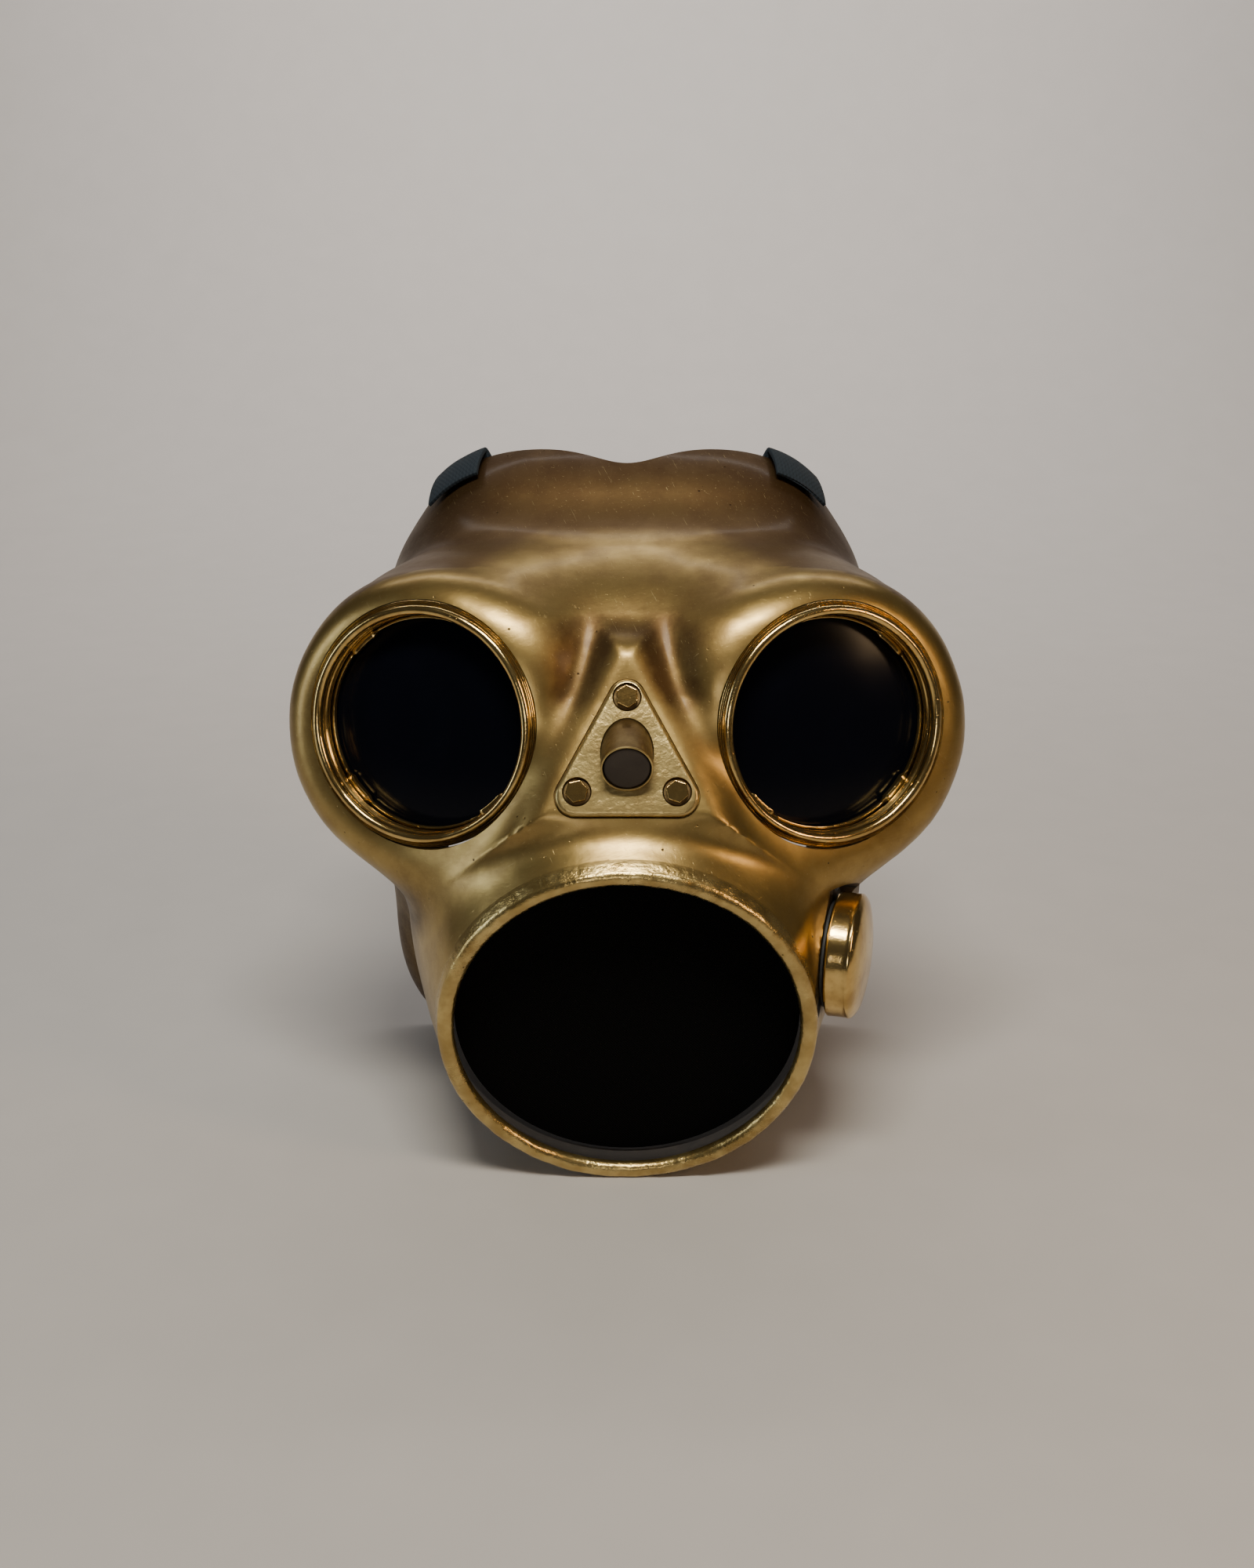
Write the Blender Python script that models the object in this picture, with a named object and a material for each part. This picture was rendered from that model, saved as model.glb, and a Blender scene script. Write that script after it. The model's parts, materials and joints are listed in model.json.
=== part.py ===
"""Hard-shell masquerade mask with two goggle eyes, a bolted nose plate and an open round mouth.

Metres, +Z up. The mask stands on the bottom of its mouth lip and on the back of its jaw, and it
faces -Y. The origin is under the middle of its bounding box. "right" is +X.
"""

import math

import bmesh
import bpy
import numpy as np
from mathutils import Matrix, Vector

# ---------------------------------------------------------------- driving dimensions
FORWARD = -0.0863  # shift of the whole design along Y that centres its bounding box

WALL = 0.0032  # thickness of the shell
GAP = 0.0003  # clearance between neighbouring pieces
SPOKES = 56  # stations around the mouth's axis
OUTER_ROWS = 23  # stations from the lip to the rear edge, outside
INNER_ROWS = 11  # and inside
RAY_CENTRE = np.array([0.0, 0.0800, 0.1250])  # inside the head space, sees the whole shell

MOUTH_CENTRE = np.array([0.0, -0.0109, 0.0655])
MOUTH_DIP = math.radians(9.0)  # how far the mouth looks below the horizon
MOUTH_RADIUS = 0.0607  # clear opening
LIP_ROLL = 0.0031  # radius of the rolled lip
LIP_RADIUS = MOUTH_RADIUS + 1.7 * LIP_ROLL
MUZZLE_LENGTH = 0.070

EYE_CENTRE = np.array([0.0716, 0.0234, 0.1672])
EYE_YAW = math.radians(19.2)  # how far each eye looks outwards
EYE_LIFT = math.radians(10.8)  # how far each eye looks above the horizon
POD_RADIUS = 0.0545  # outside of the round housing behind each eye
POD_SHOULDER = 0.0125  # rounding of its front edge
POD_SHIFT = 0.0030  # how far it sits outwards of the eye's axis
POD_DROP = 0.0035  # and below it
BEZEL_SEAT = -0.0022  # depth of the ledge that the bezel lies on
BEZEL_RADIUS = 0.0433
BEZEL_SLEEVE = 0.0407
LENS_RADIUS = 0.0378
LUG_TURN = math.radians(18.0)  # length of a lug around its ring

PLATE_CENTRE = np.array([0.0, 0.0027, 0.1654])
PLATE_LIFT = math.radians(27.0)  # how far the nose plate looks above the horizon
PLATE_TOP = 0.0030
PLATE_SEAT = -0.0008
PLATE_CORNERS = ((0, 0.0174, 0.0060), (0.0172, -0.0164, 0.0070), (-0.0172, -0.0164, 0.0070))
BOLTS = {"top": (0, 0.0172), "left": (-0.0168, -0.0150), "right": (0.0168, -0.0150)}
BOLT_SEAT = 0.0018  # floor of the round recess around each bolt head
NUT_SEAT = -0.0026  # flat inside the shell that the washers press on
TUBE_DIP = math.radians(13.0)  # how far the nose tube points below the horizon
TUBE_RADIUS = 0.00875
TUBE_LENGTH = 0.0104  # from the plate's face to the open end, on the axis

PORT_CENTRE = np.array([0.0725, 0.0130, 0.0845])  # face of the cheek boss
PORT_YAW = math.radians(73.0)
PORT_BOSS_RADIUS = 0.0205
CAP_RADIUS = 0.0225

WEBBING = 0.0250  # width of the strap
WEBBING_THICK = 0.0016
TAB_ANGLE = math.radians(37.5)  # where the strap folds over the top edge
SCRIM_DEPTH = 0.0090  # of the mesh behind the mouth lip


# ---------------------------------------------------------------- outer form of the shell
def smooth_union(a, b, blend):
    """Join two fields that are negative inside, with a fillet about as wide as blend."""
    h = np.maximum(blend - np.abs(a - b), 0.0) / blend
    return np.minimum(a, b) - h * h * blend / 4


def direction(yaw, lift):
    """Unit vector that looks along -Y, turned by yaw towards +X and raised by lift."""
    return np.array([math.sin(yaw) * math.cos(lift), -math.cos(yaw) * math.cos(lift), math.sin(lift)])


def mouth_frame():
    """Up and outward axes of the mouth."""
    out = direction(0, -MOUTH_DIP)
    return np.cross(out, [1.0, 0.0, 0.0]), out


def egg_field(p, centre, half_width, half_depth, above, below, squareness):
    """Half egg that bulges towards -Y and runs on as a tube behind its centre."""
    x = np.abs(p[..., 0]) / half_width
    rise = p[..., 2] - centre[2]
    z = np.where(rise > 0, rise / above, rise / -below)
    y = np.minimum(p[..., 1] - centre[1], 0) / half_depth
    across = (x**squareness + z**squareness) ** (2 / squareness)
    return (np.sqrt(across + y * y) - 1) * min(above, half_depth)


def muzzle_field(p):
    """Flaring snout that starts at the mouth lip and opens and climbs backwards."""
    up, out = mouth_frame()
    q = p - MOUTH_CENTRE
    ahead = q @ out
    back = MUZZLE_LENGTH * np.tanh(np.maximum(-ahead, 0) / MUZZLE_LENGTH)
    x = q[..., 0] / (LIP_RADIUS + 0.345 * back)
    z = (q @ up - 0.27 * back) / (LIP_RADIUS + 0.36 * back)
    return np.maximum((np.sqrt(x * x + z * z) - 1) * LIP_RADIUS, ahead)


def pod_field(p, side):
    """Round housing behind one eye, with a rounded shoulder, tapering towards the temple."""
    out = direction(side * EYE_YAW, EYE_LIFT)
    sideways = np.array([-out[1], out[0], 0.0]) * side / math.cos(EYE_LIFT)
    centre = EYE_CENTRE * [side, 1, 1] + sideways * POD_SHIFT + np.cross(out, sideways) * POD_DROP * -side
    q = p - centre
    ahead = q @ out
    across = np.sqrt(np.maximum((q * q).sum(-1) - ahead * ahead, 0))
    back = np.maximum(-ahead - 0.022, 0)
    edge = across - POD_RADIUS + back * back / 0.075 + POD_SHOULDER
    front = ahead - 0.0006 + POD_SHOULDER
    outside = np.hypot(np.maximum(edge, 0), np.maximum(front, 0))
    return outside + np.minimum(np.maximum(edge, front), 0) - POD_SHOULDER


def plate_frame():
    """Right, up and outward axes of the nose plate."""
    out = direction(0, PLATE_LIFT)
    right = np.array([1.0, 0.0, 0.0])
    return right, np.cross(out, right), out


def nose_field(p):
    """Flat-topped boss that carries the nose plate and runs up into the brow as a ridge."""
    right, up, out = plate_frame()
    q = p - PLATE_CENTRE
    x, y, z = np.abs(q @ right), q @ up, q @ out
    spread = 0.0026 + np.maximum(-z, 0) * 0.35
    slope = x * math.cos(0.46) + y * math.sin(0.46) - 0.0115 - spread
    base = -y - 0.0185 - spread
    tip = y - 0.0280 - spread
    side = np.maximum(np.maximum(slope, base), np.maximum(tip, -z - 0.045))
    front = z + 0.005
    outside = np.hypot(np.maximum(side, 0), np.maximum(front, 0))
    return outside + np.minimum(np.maximum(side, front), 0) - 0.0046


def port_field(p):
    """Round boss on the right cheek that carries the port."""
    axis = direction(PORT_YAW, 0)
    q = p - PORT_CENTRE
    ahead = q @ axis
    across = np.sqrt(np.maximum((q * q).sum(-1) - ahead * ahead, 0)) - PORT_BOSS_RADIUS
    ends = np.maximum(ahead, -ahead - 0.030)
    outside = np.hypot(np.maximum(across, 0), np.maximum(ends, 0))
    return outside + np.minimum(np.maximum(across, ends), 0)


def shell_field(p):
    """Negative inside the outer form of the shell, zero on it."""
    head = egg_field(p, (0, 0.126, 0.150), 0.0890, 0.067, 0.101, 0.110, 3.5)
    brow = egg_field(p, (0, 0.090, 0.176), 0.094, 0.064, 0.050, 0.072, 3)
    skirt = egg_field(p, (0, 0.104, 0.068), 0.0960, 0.034, 0.066, 0.0738, 3)
    form = smooth_union(muzzle_field(p), skirt, 0.012)
    form = smooth_union(form, head, 0.012)
    form = smooth_union(form, brow, 0.010)
    pods = smooth_union(pod_field(p, 1), pod_field(p, -1), 0.030)
    brow_fillet = np.exp(-((p[..., 0] / 0.050) ** 2)) * np.clip((p[..., 2] - 0.180) / 0.025, 0, 1)
    form = smooth_union(form, pods, 0.022 + 0.014 * brow_fillet)
    form = smooth_union(form, nose_field(p), 0.012)
    form = smooth_union(form, port_field(p), 0.005)
    arch = 0.225 - np.hypot(p[..., 0], p[..., 2] + 0.2205) - np.maximum(0.070 - p[..., 1], 0) * 0.2
    return -smooth_union(-form, -arch, 0.004)


def cast(rays, depth):
    """Points where rays from RAY_CENTRE leave the form that lies depth inside the outer one."""
    far = np.full(rays.shape[:-1], 0.005)
    best = far.copy()
    for distance in np.linspace(0.020, 0.190, 171):
        inside = shell_field(RAY_CENTRE + rays * distance) + depth < 0
        best = np.where(inside, distance, best)
    low, high = best, best + 0.001
    for _ in range(14):
        middle = (low + high) / 2
        inside = shell_field(RAY_CENTRE + rays * middle[..., None]) + depth < 0
        low, high = np.where(inside, middle, low), np.where(inside, high, middle)
    return RAY_CENTRE + rays * low[..., None]


def mouth_ring(angles, radius, ahead):
    """Points on a circle about the mouth's axis, ahead of its plane."""
    up, out = mouth_frame()
    right = np.array([1.0, 0.0, 0.0])
    around = np.sin(angles)[:, None] * right + np.cos(angles)[:, None] * up
    return MOUTH_CENTRE + around * radius + out * ahead


def rear_edge(angles):
    """Directions' targets along the trimmed edge that meets the wearer's head."""
    s, c = np.sin(angles), np.cos(angles)
    square = (np.abs(s) ** 2.7 + np.abs(c) ** 2.7) ** (-1 / 2.7)
    x = 0.090 * s * square
    z = np.where(c > 0, 0.126, 0.125) * c * square + 0.125
    top = np.clip(c, 0, 1) ** 2
    bottom = np.clip(-c, 0, 1) ** 2
    y = 0.128 - 0.014 * top - 0.022 * bottom - 0.009 * np.exp(-((x / 0.020) ** 2)) * top
    return np.stack([x, y, z], -1)


# ---------------------------------------------------------------- modelling helpers
def material(name, colour, roughness, metallic=0.0):
    """Principled material with one colour."""
    made = bpy.data.materials.new(name)
    made.use_nodes = True
    shader = made.node_tree.nodes["Principled BSDF"]
    shader.inputs["Base Color"].default_value = (*colour, 1)
    shader.inputs["Roughness"].default_value = roughness
    shader.inputs["Metallic"].default_value = metallic
    made.diffuse_color = (*colour, 1)
    return made


def frame_at(origin, out, up=(0, 0, 1)):
    """Placement whose Z axis is out and whose Y axis is as near to up as it can be."""
    z = Vector(out).normalized()
    x = Vector(up).cross(z).normalized()
    y = z.cross(x)
    placed = Matrix((x, y, z)).transposed().to_4x4()
    placed.translation = Vector(origin)
    return placed


def skin(name, rings, finish, place=None, loop=False, shift=None):
    """Solid from rings of points: a closed loop of rings, or a stack with a flat face at each end."""
    mesh = bpy.data.meshes.new(name)
    shape = bmesh.new()
    rows = [[shape.verts.new([float(v) for v in point]) for point in ring] for ring in rings]
    count = len(rows[0])
    pairs = list(zip(rows, rows[1:] + rows[:1])) if loop else list(zip(rows, rows[1:]))
    for low, high in pairs:
        for i in range(count):
            j = (i + 1) % count
            shape.faces.new((low[i], low[j], high[j], high[i]))
    if not loop:
        shape.faces.new(rows[0][::-1])
        shape.faces.new(rows[-1])
    bmesh.ops.recalc_face_normals(shape, faces=shape.faces)
    if shape.calc_volume(signed=True) < 0:
        bmesh.ops.reverse_faces(shape, faces=shape.faces)
    shape.to_mesh(mesh)
    shape.free()
    mesh.shade_smooth()
    mesh.set_sharp_from_angle(angle=math.radians(35))
    made = bpy.data.objects.new(name, mesh)
    bpy.context.collection.objects.link(made)
    made.parent = ORIGIN
    if place is not None:
        made.matrix_local = place
    if finish is None:
        made.hide_render = True
        made.display_type = "WIRE"
    else:
        mesh.materials.append(finish)
    return made


def circle(radius, height, steps, hexagon=False):
    """Ring of points about Z; a hexagon's radius is half its width across flats."""
    points = []
    for i in range(steps):
        angle = math.tau * i / steps
        reach = radius
        if hexagon:
            reach = radius / math.cos((angle + math.pi / 6) % (math.pi / 3) - math.pi / 6)
        points.append((reach * math.cos(angle), reach * math.sin(angle), height))
    return points


def turned(name, profile, finish, place, steps=48, loop=False, hexagon=()):
    """Solid turned about Z from (radius, height) pairs; hexagon lists the pairs with six flats."""
    rings = [circle(r, z, steps, i in hexagon) for i, (r, z) in enumerate(profile)]
    return skin(name, rings, finish, place, loop)


def cut(target, cutter):
    """Take the cutter's shape out of the target."""
    step = target.modifiers.new("cut_" + cutter.name, "BOOLEAN")
    step.operation = "DIFFERENCE"
    step.solver = "EXACT"
    step.object = cutter


def rounded_outline(corners, inset, height, steps):
    """Ring around circles given as (x, y, radius), pulled in by inset."""
    points = []
    for i in range(steps):
        angle = math.tau * (i + 0.5) / steps
        c, s = math.cos(angle), math.sin(angle)
        x, y, radius = max(corners, key=lambda k: k[0] * c + k[1] * s + k[2])
        points.append((x + (radius - inset) * c, y + (radius - inset) * s, height))
    return points


# ---------------------------------------------------------------- shell
def shell_rays(angles, rows, start, first=0.0, last=1.0):
    """Unit directions that sweep from a ring of starting points back to the rear edge."""
    a = start - RAY_CENTRE
    b = rear_edge(angles) - RAY_CENTRE
    a /= np.linalg.norm(a, axis=1)[:, None]
    b /= np.linalg.norm(b, axis=1)[:, None]
    arc = np.arccos((a * b).sum(1))[None, :, None]
    t = np.linspace(first, last, rows)[:, None, None]
    return (np.sin((1 - t) * arc) * a + np.sin(t * arc) * b) / np.sin(arc)


def build_shell(finish):
    """One-piece shell with a rolled lip, eye openings, bolt holes and a port hole."""
    angles = np.linspace(0, math.tau, SPOKES, endpoint=False)
    outer = cast(shell_rays(angles, OUTER_ROWS, mouth_ring(angles, LIP_RADIUS, 0)), 0.0)
    inner_start = mouth_ring(angles, LIP_RADIUS - WALL, -0.007)
    inner = cast(shell_rays(angles, INNER_ROWS, inner_start), WALL)
    roll = []
    for turn in np.linspace(math.radians(150), math.radians(-20), 6):
        radius = MOUTH_RADIUS + LIP_ROLL - LIP_ROLL * math.cos(turn)
        roll.append(mouth_ring(angles, radius, LIP_ROLL * math.sin(turn) - 0.0006))
    rings = list(outer) + list(inner[::-1]) + roll[::-1]
    shell = skin("mask_shell", rings, finish, loop=True)
    floor = [[(x, y, z) for x, y in ((-0.2, -0.1), (0.2, -0.1), (0.2, 0.2), (-0.2, 0.2))] for z in (-0.05, 0)]
    cut(shell, skin("cutter_resting_flats", floor, None))
    return shell


def cut_eye_opening(shell, side, place):
    """Ledge and hole for one bezel."""
    ledge = BEZEL_RADIUS + GAP
    hole = BEZEL_SLEEVE + GAP
    profile = ((hole, -0.030), (hole, BEZEL_SEAT), (ledge, BEZEL_SEAT), (ledge, 0.020))
    cut(shell, turned(f"cutter_eye_{side}", profile, None, place, 48))


# ---------------------------------------------------------------- eyes
def build_eye(shell, side, name, brass, rubber, glass):
    """Bezel, gasket, lens and the bayonet ring that holds the lens."""
    centre = EYE_CENTRE * [side, 1, 1]
    place = frame_at(centre, direction(side * EYE_YAW, EYE_LIFT))
    cut_eye_opening(shell, name, place)
    bead = [(0.0400 + 0.0017 * math.cos(a), 0.0019 + 0.0017 * math.sin(a))
            for a in np.linspace(0.1, math.pi - 0.1, 6)]
    profile = [
        (BEZEL_RADIUS, BEZEL_SEAT + GAP), (BEZEL_RADIUS, 0.0008), (0.0428, 0.0013), (0.0424, 0.0009),
        (0.0420, 0.0014), *bead, (0.0383, 0.0004), (0.0387, -0.0004), (0.0383, -0.0012),
        (0.0381, -0.0036), (0.0393, -0.0036), (0.0393, -0.0070), (0.0381, -0.0070),
        (0.0381, -0.0112), (0.0366, -0.0112), (0.0366, -0.0128), (BEZEL_SLEEVE, -0.0128),
        (BEZEL_SLEEVE, BEZEL_SEAT + GAP),
    ]
    turned(f"eye_bezel_{name}", profile, brass, place, 32, loop=True)
    seal = ((0.0368, -0.0109), (0.0378, -0.0109), (0.0378, -0.0098), (0.0368, -0.0098))
    turned(f"lens_gasket_{name}", seal, rubber, place, 24, loop=True)
    lens = ((LENS_RADIUS, -0.0095), (LENS_RADIUS, -0.0077), (0.0280, -0.0067), (0.0160, -0.0059),
            (0.0040, -0.0056))
    turned(f"lens_{name}", lens, glass, place, 32)
    build_retainer(name, brass, place)


def build_retainer(name, brass, place):
    """Thin ring with four lugs that reach into the bezel's groove."""
    stations = []
    for quarter in range(4):
        middle = math.pi / 4 + quarter * math.pi / 2
        half = LUG_TURN / 2
        for turn in np.linspace(half, math.pi / 2 - half, 7):
            stations.append((middle + turn, 0.0369, LENS_RADIUS, -0.0047))
        for turn in np.linspace(math.pi / 2 - half + 0.01, math.pi / 2 + half - 0.01, 4):
            stations.append((middle + turn, 0.0360, 0.0390, -0.0040))
    rings = []
    for angle, inner, outer, top in stations:
        c, s = math.cos(angle), math.sin(angle)
        rings.append([(r * c, r * s, z) for r, z in
                      ((inner, -0.0066), (outer, -0.0066), (outer, top), (inner, top))])
    skin(f"lens_retainer_{name}", rings, brass, place, loop=True)


# ---------------------------------------------------------------- nose plate
def build_nose(shell, brass, steel, dark):
    """Three-cornered plate, its tube and plug, and three bolts with washers and nuts."""
    place = frame_at(PLATE_CENTRE, direction(0, PLATE_LIFT))
    bottom = PLATE_SEAT + GAP
    layers = ((0, bottom), (0, PLATE_TOP - 0.0012), (0.0004, PLATE_TOP - 0.0003), (0.0012, PLATE_TOP))
    plate = skin("nose_plate", [rounded_outline(PLATE_CORNERS, i, z, 36) for i, z in layers], brass, place)
    pocket = [rounded_outline(PLATE_CORNERS, -0.0005, z, 36) for z in (PLATE_SEAT, 0.012)]
    cut(shell, skin("cutter_plate_pocket", pocket, None, place))

    root = place @ Vector((0, -0.0018, PLATE_TOP))
    axis = Vector(direction(0, -TUBE_DIP))
    tube_place = frame_at(root, axis)
    hole = ((TUBE_RADIUS + GAP, -0.020), (TUBE_RADIUS + GAP, 0.020))
    cut(plate, turned("cutter_tube", hole, None, tube_place, 32))
    slope = place.to_3x3().transposed() @ tube_place.to_3x3()
    foot = []
    for x, y, _ in circle(TUBE_RADIUS, 0, 32):
        above = (slope @ Vector((x, y, 0))).z + PLATE_TOP
        foot.append((x, y, (bottom - above) / (slope @ Vector((0, 0, 1))).z))
    end = TUBE_LENGTH
    rim = ((TUBE_RADIUS, end - 0.0004), (TUBE_RADIUS - 0.0003, end), (0.0081, end), (0.0080, 0.0030))
    skin("nose_tube", [foot] + [circle(r, z, 32) for r, z in rim], brass, tube_place)
    plug = ((0.0077, 0.0034), (0.0077, end - 0.0006), (0.0074, end - 0.0003))
    turned("nose_tube_plug", plug, dark, tube_place, 28)

    for name, (x, y) in BOLTS.items():
        spot = place @ Matrix.Translation((x, y, 0))
        recess = ((0.0022, -0.010), (0.0022, BOLT_SEAT), (0.0048, BOLT_SEAT), (0.0048, 0.010))
        cut(plate, turned(f"cutter_recess_{name}", recess, None, spot, 24))
        spot_face = ((0.0058, -0.020), (0.0058, NUT_SEAT), (0.0022, NUT_SEAT), (0.0022, 0.004))
        cut(shell, turned(f"cutter_nut_{name}", spot_face, None, spot, 24))
        low = BOLT_SEAT + GAP
        bolt = ((0.0020, NUT_SEAT - 0.0052), (0.0020, low), (0.0035, low), (0.0035, low + 0.0022),
                (0.0030, low + 0.0027))
        turned(f"nose_bolt_{name}", bolt, brass, spot, 18, hexagon=(2, 3))
        face = NUT_SEAT - GAP
        ring = ((0.0023, face), (0.0045, face), (0.0045, face - 0.0008), (0.0023, face - 0.0008))
        turned(f"nose_washer_{name}", ring, steel, spot, 18, loop=True)
        face = face - 0.0008 - GAP
        nut = ((0.0023, face), (0.0035, face), (0.0035, face - 0.0030), (0.0023, face - 0.0030))
        turned(f"nose_nut_{name}", nut, steel, spot, 18, loop=True, hexagon=(1, 2))


# ---------------------------------------------------------------- cheek port
def build_port(shell, brass, rubber, steel):
    """Spigot through the cheek, its gasket and nut, and the domed cap that turns on it."""
    place = frame_at(PORT_CENTRE, direction(PORT_YAW, 0))
    hole = ((0.0165, -0.030), (0.0165, NUT_SEAT), (0.0101, NUT_SEAT), (0.0101, 0.004))
    cut(shell, turned("cutter_port", hole, None, place, 32))
    face = ((0.0260, 0.0001), (0.0260, 0.020))
    cut(shell, turned("cutter_port_face", face, None, place, 32))
    low = 0.0001 + GAP
    spigot = ((0.0068, -0.0110), (0.0098, -0.0110), (0.0098, low), (0.0118, low), (0.0118, 0.0016),
              (0.0098, 0.0016), (0.0098, 0.0080), (0.0092, 0.0086), (0.0068, 0.0086))
    turned("port_spigot", spigot, steel, place, 24, loop=True)
    seal = ((0.0122, low), (0.0196, low), (0.0196, 0.0014), (0.0122, 0.0014))
    turned("port_gasket", seal, rubber, place, 24, loop=True)
    nut = ((0.0101, NUT_SEAT - GAP), (0.0140, NUT_SEAT - GAP), (0.0140, NUT_SEAT - 0.0048),
           (0.0101, NUT_SEAT - 0.0048))
    turned("port_nut", nut, steel, place, 24, loop=True, hexagon=(1, 2))
    dome = [(CAP_RADIUS * math.cos(a), 0.0108 + 0.0042 * math.sin(a))
            for a in np.linspace(0.25, math.pi / 2 - 0.06, 6)]
    cap = [(0.0102, 0.0092), (0.0102, 0.0020), (CAP_RADIUS - 0.0008, 0.0020), (CAP_RADIUS, 0.0028),
           (CAP_RADIUS, 0.0106), *dome]
    turned("port_cap", cap, brass, place, 40)


# ---------------------------------------------------------------- mouth screen
def build_screen(mesh_finish, dark):
    """Black mesh stretched behind the lip and the ring that clamps it."""
    place = frame_at(MOUTH_CENTRE, mouth_frame()[1])
    depth = -SCRIM_DEPTH
    cloth = ((0.0100, depth - 0.0026), (0.0400, depth - 0.0020), (0.0616, depth - 0.0008),
             (0.0616, depth), (0.0400, depth - 0.0012), (0.0100, depth - 0.0018))
    turned("mouth_screen", cloth, mesh_finish, place, 36)
    ring = ((0.0580, depth - 0.0036), (0.0616, depth - 0.0036), (0.0616, depth - 0.0011),
            (0.0580, depth - 0.0016))
    turned("screen_ring", ring, dark, place, 36, loop=True)


# ---------------------------------------------------------------- pads
def build_pad(name, middle, spread, first, last, finish, thick=0.0075):
    """Foam pad that lies against the inside of the shell, with tapered edges."""
    angles = middle + np.linspace(-spread, spread, 9)
    start = mouth_ring(angles, LIP_RADIUS, 0)
    rays = shell_rays(angles, 6, start, first, last)
    near = cast(rays, WALL + 0.0016)
    far_depth = WALL + 0.0016 + thick
    far = cast(rays, far_depth)
    middle_row = near.mean((0, 1))
    far = middle_row + (far - middle_row) * 0.93
    rings = []
    for k in range(9):
        rings.append(list(near[:, k]) + list(far[::-1, k]))
    return skin(name, rings, finish)


# ---------------------------------------------------------------- straps
def edge_stations(side, count):
    """Angles across the width of the webbing where it folds over the top edge."""
    half = WEBBING / 2 / 0.128
    return side * TAB_ANGLE + np.linspace(-half, half, count)


def build_strap_fold(name, side, finish):
    """Webbing folded over the top edge: a short flap outside and a longer one inside."""
    angles = edge_stations(side, 5)
    start = mouth_ring(angles, LIP_RADIUS, 0)
    rays = shell_rays(angles, 3, start, 0.935, 1.0)
    clear = 0.0010
    outer = {d: cast(rays, -d) for d in (clear, clear + WEBBING_THICK)}
    inner = {d: cast(rays, WALL + d) for d in (2 * clear, 2 * clear + WEBBING_THICK)}
    rings = []
    for k in range(len(angles)):
        loops = []
        for (_, out), (_, inn) in zip(outer.items(), inner.items()):
            ahead = out[2, k] - out[1, k]
            ahead /= np.linalg.norm(ahead)
            loops.append((out[:, k], inn[:, k], ahead))
        (o1, i1, ahead), (o2, i2, _) = loops
        near = [*o1, o1[2] + ahead * clear, i1[2] + ahead * clear, *i1[::-1]]
        far_reach = clear + WEBBING_THICK
        far = [*o2, o2[2] + ahead * far_reach, i2[2] + ahead * far_reach, *i2[::-1]]
        rings.append(near + far[::-1])
    return skin(name, rings, finish)


def smooth_route(points, count):
    """Catmull-Rom curve through the points, read at count stations."""
    knots = [np.array(p, float) for p in points]
    knots = [2 * knots[0] - knots[1], *knots, 2 * knots[-1] - knots[-2]]
    route = []
    for u in np.linspace(0, len(points) - 1, count):
        k = min(int(u), len(points) - 2)
        t = u - k
        a, b, c, d = knots[k:k + 4]
        route.append(0.5 * (2 * b + (c - a) * t + (2 * a - 5 * b + 4 * c - d) * t**2
                            + (3 * b - a - 3 * c + d) * t**3))
    return np.array(route)


STRAP_ROUTE = ((-0.0590, 0.1290, 0.2215), (-0.0640, 0.1480, 0.2150), (-0.0620, 0.1680, 0.2020),
               (-0.0480, 0.1835, 0.1895), (-0.0290, 0.1890, 0.1850), (-0.0140, 0.1890, 0.1850),
               (0.0, 0.1890, 0.1850))


def build_head_strap(finish, steel):
    """Elastic band that loops behind the head, with a keeper that slides on its back run."""
    half = list(STRAP_ROUTE)
    mirrored = [(-x, y, z) for x, y, z in half[-2::-1]]
    route = smooth_route(half + mirrored, 41)
    rings = []
    for i, point in enumerate(route):
        along = route[min(i + 1, 40)] - route[max(i - 1, 0)]
        along /= np.linalg.norm(along)
        lean = np.array([0.0, 0.25, 1.0])
        across = lean - along * (lean @ along)
        across /= np.linalg.norm(across)
        out = np.cross(along, across)
        w, t = across * WEBBING / 2, out * WEBBING_THICK / 2
        rings.append([point - w - t, point + w - t, point + w + t, point - w + t])
    skin("head_strap", rings, finish)
    lean = Vector((0, 0.25, 1)).normalized()
    place = frame_at(STRAP_ROUTE[-1], (1, 0, 0), lean)
    outer = [(0.0034, 0.0148), (-0.0034, 0.0148), (-0.0034, -0.0148), (0.0034, -0.0148)]
    inner = [(0.0014, 0.0130), (-0.0014, 0.0130), (-0.0014, -0.0130), (0.0014, -0.0130)]
    rings = [[(x, y, z) for x, y in ring] for ring, z in
             ((outer, -0.006), (outer, 0.006), (inner, 0.006), (inner, -0.006))]
    skin("strap_keeper", rings, steel, place, loop=True)


# ---------------------------------------------------------------- assembly
for existing in list(bpy.data.objects):
    bpy.data.objects.remove(existing, do_unlink=True)

ORIGIN = bpy.data.objects.new("mask_origin", None)
ORIGIN.location = (0, FORWARD, 0)
bpy.context.collection.objects.link(ORIGIN)

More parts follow.
